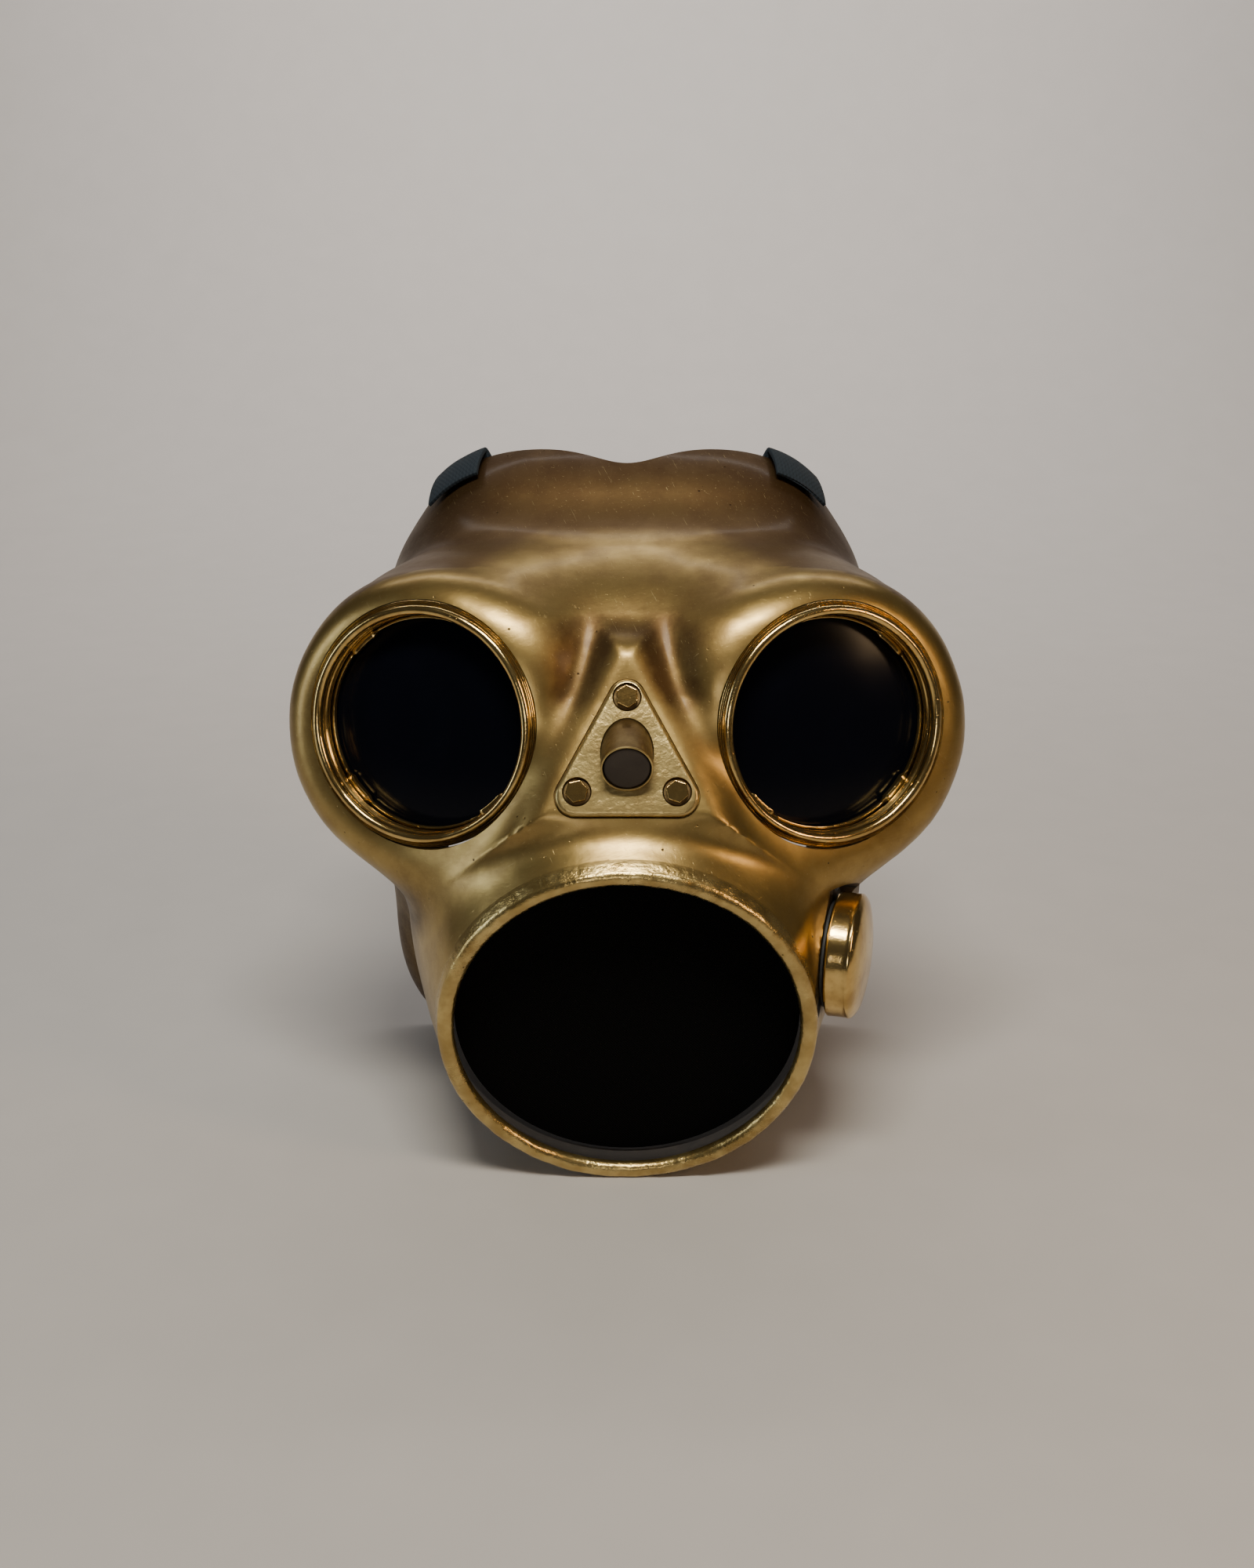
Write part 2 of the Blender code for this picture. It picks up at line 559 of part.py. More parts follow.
gold = material("gold_paint", (0.46, 0.33, 0.13), 0.3, 0.9)
brass = material("bright_brass", (0.62, 0.47, 0.20), 0.25, 1.0)
black_rubber = material("black_rubber", (0.02, 0.02, 0.02), 0.7)
smoked_lens = material("smoked_lens", (0.01, 0.01, 0.015), 0.1)
dark_plug = material("dark_plug", (0.03, 0.022, 0.018), 0.6)
zinc = material("zinc_steel", (0.45, 0.45, 0.45), 0.4, 1.0)
navy_webbing = material("navy_webbing", (0.005, 0.012, 0.022), 0.85)
black_mesh = material("black_mesh", (0.008, 0.008, 0.008), 0.9)
black_foam = material("black_foam", (0.02, 0.02, 0.02), 0.95)

shell = build_shell(gold)
build_eye(shell, -1, "left", brass, black_rubber, smoked_lens)
build_eye(shell, 1, "right", brass, black_rubber, smoked_lens)
build_nose(shell, brass, zinc, dark_plug)
build_port(shell, brass, black_rubber, zinc)
build_screen(black_mesh, dark_plug)
build_pad("forehead_pad", 0.0, 0.62, 0.76, 0.90, black_foam)
build_pad("cheek_pad_left", -1.75, 0.24, 0.62, 0.92, black_foam)
build_pad("cheek_pad_right", 1.75, 0.24, 0.62, 0.92, black_foam)
build_strap_fold("strap_fold_left", -1, navy_webbing)
build_strap_fold("strap_fold_right", 1, navy_webbing)
build_head_strap(navy_webbing, zinc)
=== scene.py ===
"""Looks of a hard-shell gold masquerade mask with goggle eyes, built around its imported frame.

Metres, +Z up; the mask faces -Y. The form of the shell is a field, negative inside and zero on the
surface. The same field places the shell's outside and inside, so every piece fits its neighbours.
"""

from __future__ import annotations

import json
import logging
import math
from contextlib import contextmanager
from dataclasses import dataclass
from enum import Enum
from typing import Iterator, Sequence

import bpy
import numpy as np
from mathutils import Matrix, Vector, noise

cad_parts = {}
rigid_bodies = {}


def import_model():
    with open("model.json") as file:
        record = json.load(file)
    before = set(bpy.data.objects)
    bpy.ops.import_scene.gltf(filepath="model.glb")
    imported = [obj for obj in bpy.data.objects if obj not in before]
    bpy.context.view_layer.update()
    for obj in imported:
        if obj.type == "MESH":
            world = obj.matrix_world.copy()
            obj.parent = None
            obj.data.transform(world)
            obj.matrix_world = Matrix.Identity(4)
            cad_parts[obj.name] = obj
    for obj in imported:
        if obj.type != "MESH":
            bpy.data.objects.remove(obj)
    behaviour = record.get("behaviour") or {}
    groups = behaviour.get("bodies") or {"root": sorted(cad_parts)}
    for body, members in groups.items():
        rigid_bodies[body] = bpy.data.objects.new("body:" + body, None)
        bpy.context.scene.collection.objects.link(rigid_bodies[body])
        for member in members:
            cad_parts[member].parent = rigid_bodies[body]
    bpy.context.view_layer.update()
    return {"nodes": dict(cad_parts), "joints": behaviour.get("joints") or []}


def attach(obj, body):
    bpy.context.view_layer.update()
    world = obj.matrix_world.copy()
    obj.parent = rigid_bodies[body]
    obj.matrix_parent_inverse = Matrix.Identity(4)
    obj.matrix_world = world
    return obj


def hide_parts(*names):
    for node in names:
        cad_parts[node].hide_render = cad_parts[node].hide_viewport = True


for leftover in list(bpy.data.objects):
    bpy.data.objects.remove(leftover, do_unlink=True)
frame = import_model()
JOINTS = {joint["name"]: joint for joint in frame["joints"]}
LOG = logging.getLogger("mask")

Object = bpy.types.Object
Material = bpy.types.Material
Array = np.ndarray
Colour = tuple[float, float, float]
Point = tuple[float, float, float]
Size = tuple[float, float]
Profile = Sequence[tuple[float, float]]
EYE_DEPTH = 0.0234  # of the eye's centre in the form's own coordinates
FORWARD = JOINTS["retainer_right_turn"]["pos_m"][1] - EYE_DEPTH  # from the form to the frame
GAP = 0.0003  # clearance between neighbouring pieces


class Side(Enum):
    """Which side of the mask a piece is on, as seen from the front."""

    LEFT = -1
    RIGHT = 1

    @property
    def word(self) -> str:
        """Name of the side as the frame spells it."""
        return self.name.lower()


# ---------------------------------------------------------------- the shell's form
def smooth_union(a: Array, b: Array, blend: float | Array) -> Array:
    """Join two fields that are negative inside, with a fillet.

    Args:
        a: First field.
        b: Second field.
        blend: Rough width of the fillet.

    Returns:
        The joined field.
    """
    h = np.maximum(blend - np.abs(a - b), 0.0) / blend
    return np.minimum(a, b) - h * h * blend / 4


def direction(yaw: float, lift: float) -> Array:
    """Unit vector that looks along -Y, turned and raised.

    Args:
        yaw: Turn towards +X, in degrees.
        lift: Rise above the horizon, in degrees.

    Returns:
        The vector.
    """
    a, b = math.radians(yaw), math.radians(lift)
    return np.array([math.sin(a) * math.cos(b), -math.cos(a) * math.cos(b), math.sin(b)])


def rounded_prism(side: Array, front: Array, rounding: float) -> Array:
    """Field of a flat-fronted body with a rounded front edge.

    Args:
        side: Distance outside its side walls, less the rounding.
        front: Distance ahead of its front, less the rounding.
        rounding: Radius of the edge.

    Returns:
        The field.
    """
    outside = np.hypot(np.maximum(side, 0), np.maximum(front, 0))
    return outside + np.minimum(np.maximum(side, front), 0) - rounding


@dataclass(frozen=True)
class ShellForm:
    """Outer form of the shell, in its own coordinates: metres, before the shift into the frame."""

    wall: float = 0.0032
    ray_centre: Point = (0.0, 0.0800, 0.1250)
    mouth_centre: Point = (0.0, -0.0109, 0.0655)
    mouth_dip: float = 9.0
    mouth_radius: float = 0.0607
    lip_roll: float = 0.0031
    muzzle_length: float = 0.070
    eye_centre: Point = (0.0716, EYE_DEPTH, 0.1672)
    eye_yaw: float = 19.2
    eye_lift: float = 10.8
    pod_radius: float = 0.0545
    pod_shoulder: float = 0.0125
    pod_shift: float = 0.0030
    pod_drop: float = 0.0035
    plate_centre: Point = (0.0, 0.0027, 0.1654)
    plate_lift: float = 27.0
    port_centre: Point = (0.0725, 0.0130, 0.0845)
    port_yaw: float = 73.0
    port_boss_radius: float = 0.0205

    @property
    def lip_radius(self) -> float:
        """Radius at which the outside of the snout meets the rolled lip."""
        return self.mouth_radius + 1.7 * self.lip_roll

    def mouth_axes(self) -> tuple[Array, Array]:
        """Up and outward axes of the mouth."""
        out = direction(0, -self.mouth_dip)
        return np.cross(out, [1.0, 0.0, 0.0]), out

    def plate_axes(self) -> tuple[Array, Array, Array]:
        """Right, up and outward axes of the nose plate."""
        out = direction(0, self.plate_lift)
        right = np.array([1.0, 0.0, 0.0])
        return right, np.cross(out, right), out

    @staticmethod
    def egg(p: Array, centre: Point, sizes: Sequence[float], square: float) -> Array:
        """Half egg that bulges towards -Y and runs on as a tube behind its centre.

        Args:
            p: Points.
            centre: Middle of the egg.
            sizes: Half width, half depth, height above and height below the centre.
            square: Power of its cross-section; 2 is an ellipse.

        Returns:
            The field.
        """
        half_width, half_depth, above, below = sizes
        x = np.abs(p[..., 0]) / half_width
        rise = p[..., 2] - centre[2]
        z = np.where(rise > 0, rise / above, rise / -below)
        y = np.minimum(p[..., 1] - centre[1], 0) / half_depth
        across = (x**square + z**square) ** (2 / square)
        return (np.sqrt(across + y * y) - 1) * min(above, half_depth)

    def muzzle(self, p: Array) -> Array:
        """Flaring snout that starts at the mouth lip and opens and climbs backwards."""
        up, out = self.mouth_axes()
        q = p - np.array(self.mouth_centre)
        ahead = q @ out
        back = self.muzzle_length * np.tanh(np.maximum(-ahead, 0) / self.muzzle_length)
        x = q[..., 0] / (self.lip_radius + 0.345 * back)
        z = (q @ up - 0.27 * back) / (self.lip_radius + 0.36 * back)
        return np.maximum((np.sqrt(x * x + z * z) - 1) * self.lip_radius, ahead)

    def pod(self, p: Array, side: Side) -> Array:
        """Round housing behind one eye, with a rounded shoulder, tapering towards the temple."""
        s = side.value
        out = direction(s * self.eye_yaw, self.eye_lift)
        sideways = np.array([-out[1], out[0], 0.0]) * s / math.cos(math.radians(self.eye_lift))
        down = -np.cross(out, sideways) * s
        centre = np.array(self.eye_centre) * [s, 1, 1] + sideways * self.pod_shift + down * self.pod_drop
        q = p - centre
        ahead = q @ out
        across = np.sqrt(np.maximum((q * q).sum(-1) - ahead * ahead, 0))
        back = np.maximum(-ahead - 0.022, 0)
        edge = across - self.pod_radius + back * back / 0.075 + self.pod_shoulder
        return rounded_prism(edge, ahead - 0.0006 + self.pod_shoulder, self.pod_shoulder)

    def nose(self, p: Array) -> Array:
        """Flat-topped boss that carries the nose plate and runs up into the brow as a ridge."""
        right, up, out = self.plate_axes()
        q = p - np.array(self.plate_centre)
        x, y, z = np.abs(q @ right), q @ up, q @ out
        spread = 0.0026 + np.maximum(-z, 0) * 0.35
        slope = x * math.cos(0.46) + y * math.sin(0.46) - 0.0115 - spread
        base = -y - 0.0185 - spread
        tip = y - 0.0280 - spread
        side = np.maximum(np.maximum(slope, base), np.maximum(tip, -z - 0.045))
        return rounded_prism(side, z + 0.005, 0.0046)

    def port(self, p: Array) -> Array:
        """Round boss on the right cheek that carries the port."""
        axis = direction(self.port_yaw, 0)
        q = p - np.array(self.port_centre)
        ahead = q @ axis
        across = np.sqrt(np.maximum((q * q).sum(-1) - ahead * ahead, 0)) - self.port_boss_radius
        return rounded_prism(across, np.maximum(ahead, -ahead - 0.030), 0.0)

    def field(self, p: Array) -> Array:
        """Negative inside the outer form of the shell, zero on it."""
        head = self.egg(p, (0, 0.126, 0.150), (0.0890, 0.067, 0.101, 0.110), 3.5)
        brow = self.egg(p, (0, 0.090, 0.176), (0.094, 0.064, 0.050, 0.072), 3)
        skirt = self.egg(p, (0, 0.104, 0.068), (0.0960, 0.034, 0.066, 0.0738), 3)
        form = smooth_union(self.muzzle(p), skirt, 0.012)
        form = smooth_union(form, head, 0.012)
        form = smooth_union(form, brow, 0.010)
        pods = smooth_union(self.pod(p, Side.RIGHT), self.pod(p, Side.LEFT), 0.030)
        brow_fillet = np.exp(-((p[..., 0] / 0.050) ** 2)) * np.clip((p[..., 2] - 0.180) / 0.025, 0, 1)
        form = smooth_union(form, pods, 0.022 + 0.014 * brow_fillet)
        form = smooth_union(form, self.nose(p), 0.012)
        form = smooth_union(form, self.port(p), 0.005)
        arch = 0.225 - np.hypot(p[..., 0], p[..., 2] + 0.2205) - np.maximum(0.070 - p[..., 1], 0) * 0.2
        return -smooth_union(-form, -arch, 0.004)

    def normal(self, p: Array) -> Array:
        """Outward unit normals of the form at points near its surface."""
        step = 0.0004
        shifts = np.eye(3) * step
        slope = np.stack([self.field(p + s) - self.field(p - s) for s in shifts], -1)
        return slope / np.maximum(np.linalg.norm(slope, axis=-1)[..., None], 1e-9)

    def cast(self, rays: Array, depth: float) -> Array:
        """Points where rays from the ray centre leave the form that lies inside the outer one.

        Args:
            rays: Unit directions.
            depth: Distance of that form inside the outer one.

        Returns:
            The points, as many as there are rays.
        """
        start = np.array(self.ray_centre)
        best = np.full(rays.shape[:-1], 0.005)
        for distance in np.linspace(0.020, 0.190, 115):
            inside = self.field(start + rays * distance) + depth < 0
            best = np.where(inside, distance, best)
        low, high = best, best + 0.0015
        for _ in range(15):
            middle = (low + high) / 2
            inside = self.field(start + rays * middle[..., None]) + depth < 0
            low, high = np.where(inside, middle, low), np.where(inside, high, middle)
        return start + rays * low[..., None]

    def mouth_ring(self, angles: Array, radius: float | Array, ahead: float | Array) -> Array:
        """Points on a circle about the mouth's axis.

        Args:
            angles: Stations around the axis, from straight up towards +X.
            radius: One radius, or one for each station.
            ahead: Distance in front of the mouth's plane, one or one for each station.

        Returns:
            One point for each station.
        """
        up, out = self.mouth_axes()
        around = np.sin(angles)[:, None] * [1.0, 0.0, 0.0] + np.cos(angles)[:, None] * up
        reach = np.broadcast_to(radius, angles.shape)[:, None]
        front = np.broadcast_to(ahead, angles.shape)[:, None]
        return np.array(self.mouth_centre) + around * reach + out * front

    @staticmethod
    def rear_edge(angles: Array) -> Array:
        """Points to aim at along the trimmed edge that meets the wearer's head."""
        s, c = np.sin(angles), np.cos(angles)
        square = (np.abs(s) ** 2.7 + np.abs(c) ** 2.7) ** (-1 / 2.7)
        x = 0.090 * s * square
        z = np.where(c > 0, 0.126, 0.125) * c * square + 0.125
        top = np.clip(c, 0, 1) ** 2
        bottom = np.clip(-c, 0, 1) ** 2
        y = 0.128 - 0.014 * top - 0.022 * bottom - 0.009 * np.exp(-((x / 0.020) ** 2)) * top
        return np.stack([x, y, z], -1)

    def rays(
        self, angles: Array, rows: int, start: Array, first: float = 0.0, last: float = 1.0
    ) -> Array:
        """Unit directions that sweep from a ring of starting points back to the rear edge.

        Args:
            angles: Stations around the mouth's axis.
            rows: How many directions for each station.
            start: Starting point of each station.
            first: Share of the sweep where the rows begin.
            last: Share of the sweep where they end.

        Returns:
            Directions, by row and station.
        """
        centre = np.array(self.ray_centre)
        a, b = start - centre, self.rear_edge(angles) - centre
        a /= np.linalg.norm(a, axis=1)[:, None]
        b /= np.linalg.norm(b, axis=1)[:, None]
        arc = np.arccos((a * b).sum(1))[None, :, None]
        t = np.linspace(first, last, rows)[:, None, None]
        return (np.sin((1 - t) * arc) * a + np.sin(t * arc) * b) / np.sin(arc)


FORM = ShellForm()


# ---------------------------------------------------------------- workbench for meshes
def focus_nothing() -> None:
    """Deselect everything, since an operator acts on all that is selected."""
    if bpy.context.object and bpy.context.object.mode != "OBJECT":
        bpy.ops.object.mode_set(mode="OBJECT")
    bpy.ops.object.select_all(action="DESELECT")


def focus(piece: Object) -> None:
    """Deselect everything and make one piece active."""
    focus_nothing()
    piece.select_set(True)
    bpy.context.view_layer.objects.active = piece


@contextmanager
def editing(piece: Object, select: str = "SELECT") -> Iterator[None]:
    """Edit mode on one piece.

    Args:
        piece: Mesh to edit.
        select: What select_all does first: SELECT or DESELECT.
    """
    focus(piece)
    bpy.ops.object.mode_set(mode="EDIT")
    bpy.ops.mesh.select_all(action=select)
    yield
    bpy.ops.object.mode_set(mode="OBJECT")


def added(name: str) -> Object:
    """The primitive that was just added, named."""
    piece = bpy.context.object
    piece.name = name
    piece.data.name = name
    return piece


def modify(piece: Object, kind: str, **settings: object) -> None:
    """Add one modifier and apply it.

    Args:
        piece: Mesh to change.
        kind: Modifier type.
        settings: Its properties.
    """
    step = piece.modifiers.new(kind.lower(), kind)
    for key, value in settings.items():
        setattr(step, key, value)
    focus(piece)
    bpy.ops.object.modifier_apply(modifier=step.name)


def soften(piece: Object, width: float, segments: int = 2, angle: float = 0.5) -> None:
    """Bevel the edges that are sharper than an angle.

    Args:
        piece: Mesh to change.
        width: Width of the bevel.
        segments: Steps across it.
        angle: Smallest angle that is bevelled, in radians.
    """
    modify(piece, "BEVEL", width=width, segments=segments, limit_method="ANGLE", angle_limit=angle)


def cut(piece: Object, cutter: Object) -> None:
    """Take the cutter's shape out of a piece and remove the cutter."""
    modify(piece, "BOOLEAN", operation="DIFFERENCE", solver="EXACT", object=cutter)
    bpy.data.objects.remove(cutter, do_unlink=True)


def close_up(piece: Object) -> None:
    """Merge doubled points and turn all faces outwards."""
    with editing(piece):
        bpy.ops.mesh.remove_doubles(threshold=1e-6)
        bpy.ops.mesh.delete_loose()
        bpy.ops.mesh.select_all(action="SELECT")
        bpy.ops.mesh.normals_make_consistent(inside=False)


def smooth(piece: Object, angle: float = 35.0) -> None:
    """Shade smooth, with edges sharper than the angle kept crisp."""
    focus(piece)
    bpy.ops.object.shade_smooth_by_angle(angle=math.radians(angle))


def coordinates(piece: Object) -> Array:
    """Vertex places of a piece."""
    flat = np.zeros(len(piece.data.vertices) * 3)
    piece.data.vertices.foreach_get("co", flat)
    return flat.reshape(-1, 3)


def move_to(piece: Object, points: Array) -> None:
    """Put a piece's vertices at the given places."""
    piece.data.vertices.foreach_set("co", np.asarray(points, float).ravel())
    piece.data.update()


def placement(origin: Sequence[float], out: Sequence[float], up: Point = (0, 0, 1)) -> Matrix:
    """Placement of a piece modelled about Z.

    Args:
        origin: Its origin, in the form's coordinates.
        out: Where its Z axis points.
        up: What its Y axis is as near to as it can be.

    Returns:
        The matrix, in the frame's coordinates.
    """
    z = Vector(out).normalized()
    x = Vector(up).cross(z).normalized()
    placed = Matrix((x, z.cross(x), z)).transposed().to_4x4()
    placed.translation = Vector(origin) + Vector((0, FORWARD, 0))
    return placed


def turned(name: str, profile: Profile, place: Matrix | None = None, steps: int = 128) -> Object:
    """Piece turned about Z from a closed profile.

    Args:
        name: Name of the piece.
        profile: Loop of (radius, height) pairs; two of them may lie on the axis.
        place: Where it goes once turned.
        steps: Stations around the axis.

    Returns:
        The piece.
    """
    focus_nothing()
    bpy.ops.mesh.primitive_circle_add(vertices=len(profile), radius=1, fill_type="NOTHING")
    piece = added(name)
    move_to(piece, np.array([(r, 0, z) for r, z in profile]))
    with editing(piece):
        bpy.ops.mesh.spin(steps=steps, angle=math.tau, center=(0, 0, 0), axis=(0, 0, 1))
    close_up(piece)
    if place is not None:
        piece.data.transform(place)
    return piece


def hexagon(
    name: str, flats: float, low: float, high: float, place: Matrix, chamfer: float
) -> Object:
    """Six-sided head or nut with softened edges.

    Args:
        name: Name of the piece.
        flats: Half its width across flats.
        low: Height of its underside.
        high: Height of its top.
        place: Where it goes.
        chamfer: Width of the bevel on its edges.

    Returns:
        The piece.
    """
    focus_nothing()
    bpy.ops.mesh.primitive_cylinder_add(
        vertices=6, radius=flats / math.cos(math.pi / 6), depth=high - low, location=(0, 0, (low + high) / 2)
    )
    piece = added(name)
    bpy.ops.object.transform_apply(location=True, rotation=True, scale=True)
    soften(piece, chamfer, 3, math.radians(30))
    piece.data.transform(place)
    return piece


def woven_strip(name: str, points: Array, thickness: float) -> Object:
    """Strip of webbing over a grid of points, with a UV map that follows it.

    Args:
        name: Name of the piece.
        points: Points by row along the strip and column across it.
        thickness: Of the webbing, half on each side.

    Returns:
        The piece.
    """
    rows, columns = points.shape[:2]
    focus_nothing()
    bpy.ops.mesh.primitive_grid_add(x_subdivisions=columns - 1, y_subdivisions=rows - 1, size=1)
    piece = added(name)
    move_to(piece, points)
    modify(piece, "SOLIDIFY", thickness=thickness, offset=0, use_even_offset=True)
    soften(piece, thickness * 0.35, 2, math.radians(50))
    close_up(piece)
    smooth(piece, 60)
    return piece


def ripple(piece: Object, amount: float, size: float, seed: float) -> None:
    """Push vertices along their normals by smooth noise, as hand work leaves them.

    Args:
        piece: Mesh to change.
        amount: Largest push.
        size: Rough size of one bump.
        seed: Shift of the noise.
    """
    offset = Vector((seed, seed * 1.7, -seed))
    places = [v.co + v.normal * amount * noise.noise(v.co / size + offset) for v in piece.data.vertices]
    move_to(piece, np.array(places))


def set_attribute(piece: Object, name: str, values: Array) -> None:
    """Store one number for each vertex, for the materials to read."""
    layer = piece.data.attributes.get(name) or piece.data.attributes.new(name, "FLOAT", "POINT")
    layer.data.foreach_set("value", np.asarray(values, np.float32))


def mark_hollows(piece: Object, strength: float, spread: int = 3) -> None:
    """Store how hollow (towards 1) or how proud (towards 0) each vertex lies, as "hollow".

    Args:
        piece: Mesh to measure.
        strength: How strongly a bend counts.
        spread: How often the measure is averaged with its neighbours.
    """
    mesh = piece.data
    places = coordinates(piece)
    normals = np.zeros(len(places) * 3)
    mesh.vertices.foreach_get("normal", normals)
    normals = normals.reshape(-1, 3)
    edges = np.zeros(len(mesh.edges) * 2, int)
    mesh.edges.foreach_get("vertices", edges)
    a, b = edges[0::2], edges[1::2]
    run = places[b] - places[a]
    run /= np.maximum(np.linalg.norm(run, axis=1)[:, None], 1e-9)
    total = np.bincount(a, (normals[a] * run).sum(1), len(places))
    total += np.bincount(b, -(normals[b] * run).sum(1), len(places))
    count = np.maximum(np.bincount(a, minlength=len(places)) + np.bincount(b, minlength=len(places)), 1)
    bend = total / count
    for _ in range(spread):
        near = np.bincount(a, bend[b], len(places)) + np.bincount(b, bend[a], len(places))
        bend = (bend + near / count) / 2
    set_attribute(piece, "hollow", np.clip(0.5 + bend * strength, 0, 1))


# ---------------------------------------------------------------- workbench for materials
class Wire:
    """One output socket of a material's nodes; arithmetic on it adds Math nodes."""

    def __init__(self, bench: Bench, socket: bpy.types.NodeSocket) -> None:
        """Wrap a socket of a bench's tree."""
        self.bench = bench
        self.socket = socket

    def __add__(self, other: Wire | float) -> Wire:
        """Sum."""
        return self.bench.math("ADD", self, other)

    def __radd__(self, other: float) -> Wire:
        """Sum with a number on the left."""
        return self.bench.math("ADD", other, self)

    def __sub__(self, other: Wire | float) -> Wire:
        """Difference."""
        return self.bench.math("SUBTRACT", self, other)

    def __rsub__(self, other: float) -> Wire:
        """Difference with a number on the left."""
        return self.bench.math("SUBTRACT", other, self)

    def __mul__(self, other: Wire | float) -> Wire:
        """Product."""
        return self.bench.math("MULTIPLY", self, other)

    def __rmul__(self, other: float) -> Wire:
        """Product with a number on the left."""
        return self.bench.math("MULTIPLY", other, self)

    def __pow__(self, other: float) -> Wire:
        """Power."""
        return self.bench.math("POWER", self, other)

    def clamp(self) -> Wire:
        """Kept between 0 and 1."""
        return self.bench.node("ShaderNodeClamp", sockets={"Value": self})

    def ramp(self, low: float, high: float) -> Wire:
        """Rise from 0 at low to 1 at high, smoothly; low may be the larger.

        Args:
            low: Value that gives 0.
            high: Value that gives 1.

        Returns:
            The mask.
        """
        return self.bench.node(
            "ShaderNodeMapRange",
            {"interpolation_type": "SMOOTHSTEP"},
            {"Value": self, "From Min": low, "From Max": high},
        )


class Bench:
    """Node tree of one material, with a Principled shader at its end."""

    def __init__(self, name: str) -> None:
        """Start a material.

        Args:
            name: Name of the material.
        """
        self.material = bpy.data.materials.new(name)
        self.material.use_nodes = True
        self.tree = self.material.node_tree
        self.shader = self.tree.nodes["Principled BSDF"]

    def node(
        self,
        kind: str,
        settings: dict[str, object] | None = None,
        sockets: dict[str | int, object] | None = None,
        output: str | int = 0,
    ) -> Wire:
        """Add a node.

        Args:
            kind: Node type.
            settings: Its properties, set before its sockets; "stops" fills a colour ramp.
            sockets: Values or wires for its inputs, by name or number.
            output: Which output to hand back.

        Returns:
            That output.
        """
        made = self.tree.nodes.new(kind)
        for key, value in (settings or {}).items():
            if key == "stops":
                for index, (place, colour) in enumerate(value):
                    stops = made.color_ramp.elements
                    stop = stops[index] if index < 2 else stops.new(place)
                    stop.position, stop.color = place, (*colour, 1)
            else:
                setattr(made, key, value)
        for key, value in (sockets or {}).items():
            self.feed(made.inputs[key], value)
        return Wire(self, made.outputs[output])

    def feed(self, socket: bpy.types.NodeSocket, value: object) -> None:
        """Link a wire to an input, or set the input's value."""
        if isinstance(value, Wire):
            self.tree.links.new(value.socket, socket)
        else:
            socket.default_value = (*value, 1) if socket.type == "RGBA" and len(value) == 3 else value

    def math(self, operation: str, *values: Wire | float) -> Wire:
        """Math node on one, two or three values."""
        return self.node("ShaderNodeMath", {"operation": operation}, dict(enumerate(values)))

    def place(self) -> Wire:
        """Object coordinates, in metres."""
        return self.node("ShaderNodeTexCoord", output="Object")

    def stored(self, name: str) -> Wire:
        """Number that the mesh stores for each vertex."""
        return self.node("ShaderNodeAttribute", {"attribute_name": name}, output="Fac")

    def mapped(self, scale: Point, turn: Point = (0, 0, 0), source: Wire | None = None) -> Wire:
        """Coordinates turned and then stretched.

        Args:
            scale: Stretch along each axis.
            turn: Rotation in degrees.
            source: Coordinates to start from; the piece's own if left out.

        Returns:
            The new coordinates.
        """
        sockets = {"Vector": source or self.place(), "Rotation": [math.radians(t) for t in turn]}
        spun = self.node("ShaderNodeMapping", None, sockets)
        return self.node("ShaderNodeVectorMath", {"operation": "MULTIPLY"}, {0: spun, 1: scale})

    def noise(self, scale: float, detail: float = 3.0, rough: float = 0.5, at: Wire | None = None) -> Wire:
        """Smooth noise from 0 to 1.

        Args:
            scale: Cells for each metre.
            detail: Finer layers on top.
            rough: Weight of the finer layers.
            at: Coordinates; the piece's own if left out.

        Returns:
            The noise.
        """
        sockets = {"Vector": at or self.place(), "Scale": scale, "Detail": detail, "Roughness": rough}
        return self.node("ShaderNodeTexNoise", None, sockets)

    def cells(self, scale: float, output: str = "Distance", at: Wire | None = None) -> Wire:
        """Distance to, or random colour of, the nearest of many scattered points."""
        return self.node("ShaderNodeTexVoronoi", None, {"Vector": at or self.place(), "Scale": scale}, output)

    def mix(self, a: Wire | Colour, b: Wire | Colour, share: Wire | float, kind: str = "MIX") -> Wire:
        """Blend two colours.

        Args:
            a: Colour at share 0.
            b: Colour at share 1.
            share: How much of the second.
            kind: How they blend.

        Returns:
            The colour.
        """
        settings = {"data_type": "RGBA", "blend_type": kind}
        return self.node("ShaderNodeMix", settings, {0: share, 6: a, 7: b}, 2)

    def bump(self, height: Wire, distance: float, strength: float = 1.0) -> Wire:
        """Surface normal that follows a height.

        Args:
            height: Height, where 1 stands for the distance.
            distance: Real height in metres.
            strength: Share of it that shows.

        Returns:
            The normal.
        """
        sockets = {"Strength": strength, "Distance": distance, "Height": height}
        return self.node("ShaderNodeBump", None, sockets)

    def finish(self, **inputs: object) -> Material:
        """Feed the shader; an underscore in a name stands for a space."""
        for key, value in inputs.items():
            self.feed(self.shader.inputs[key.replace("_", " ")], value)
        return self.material


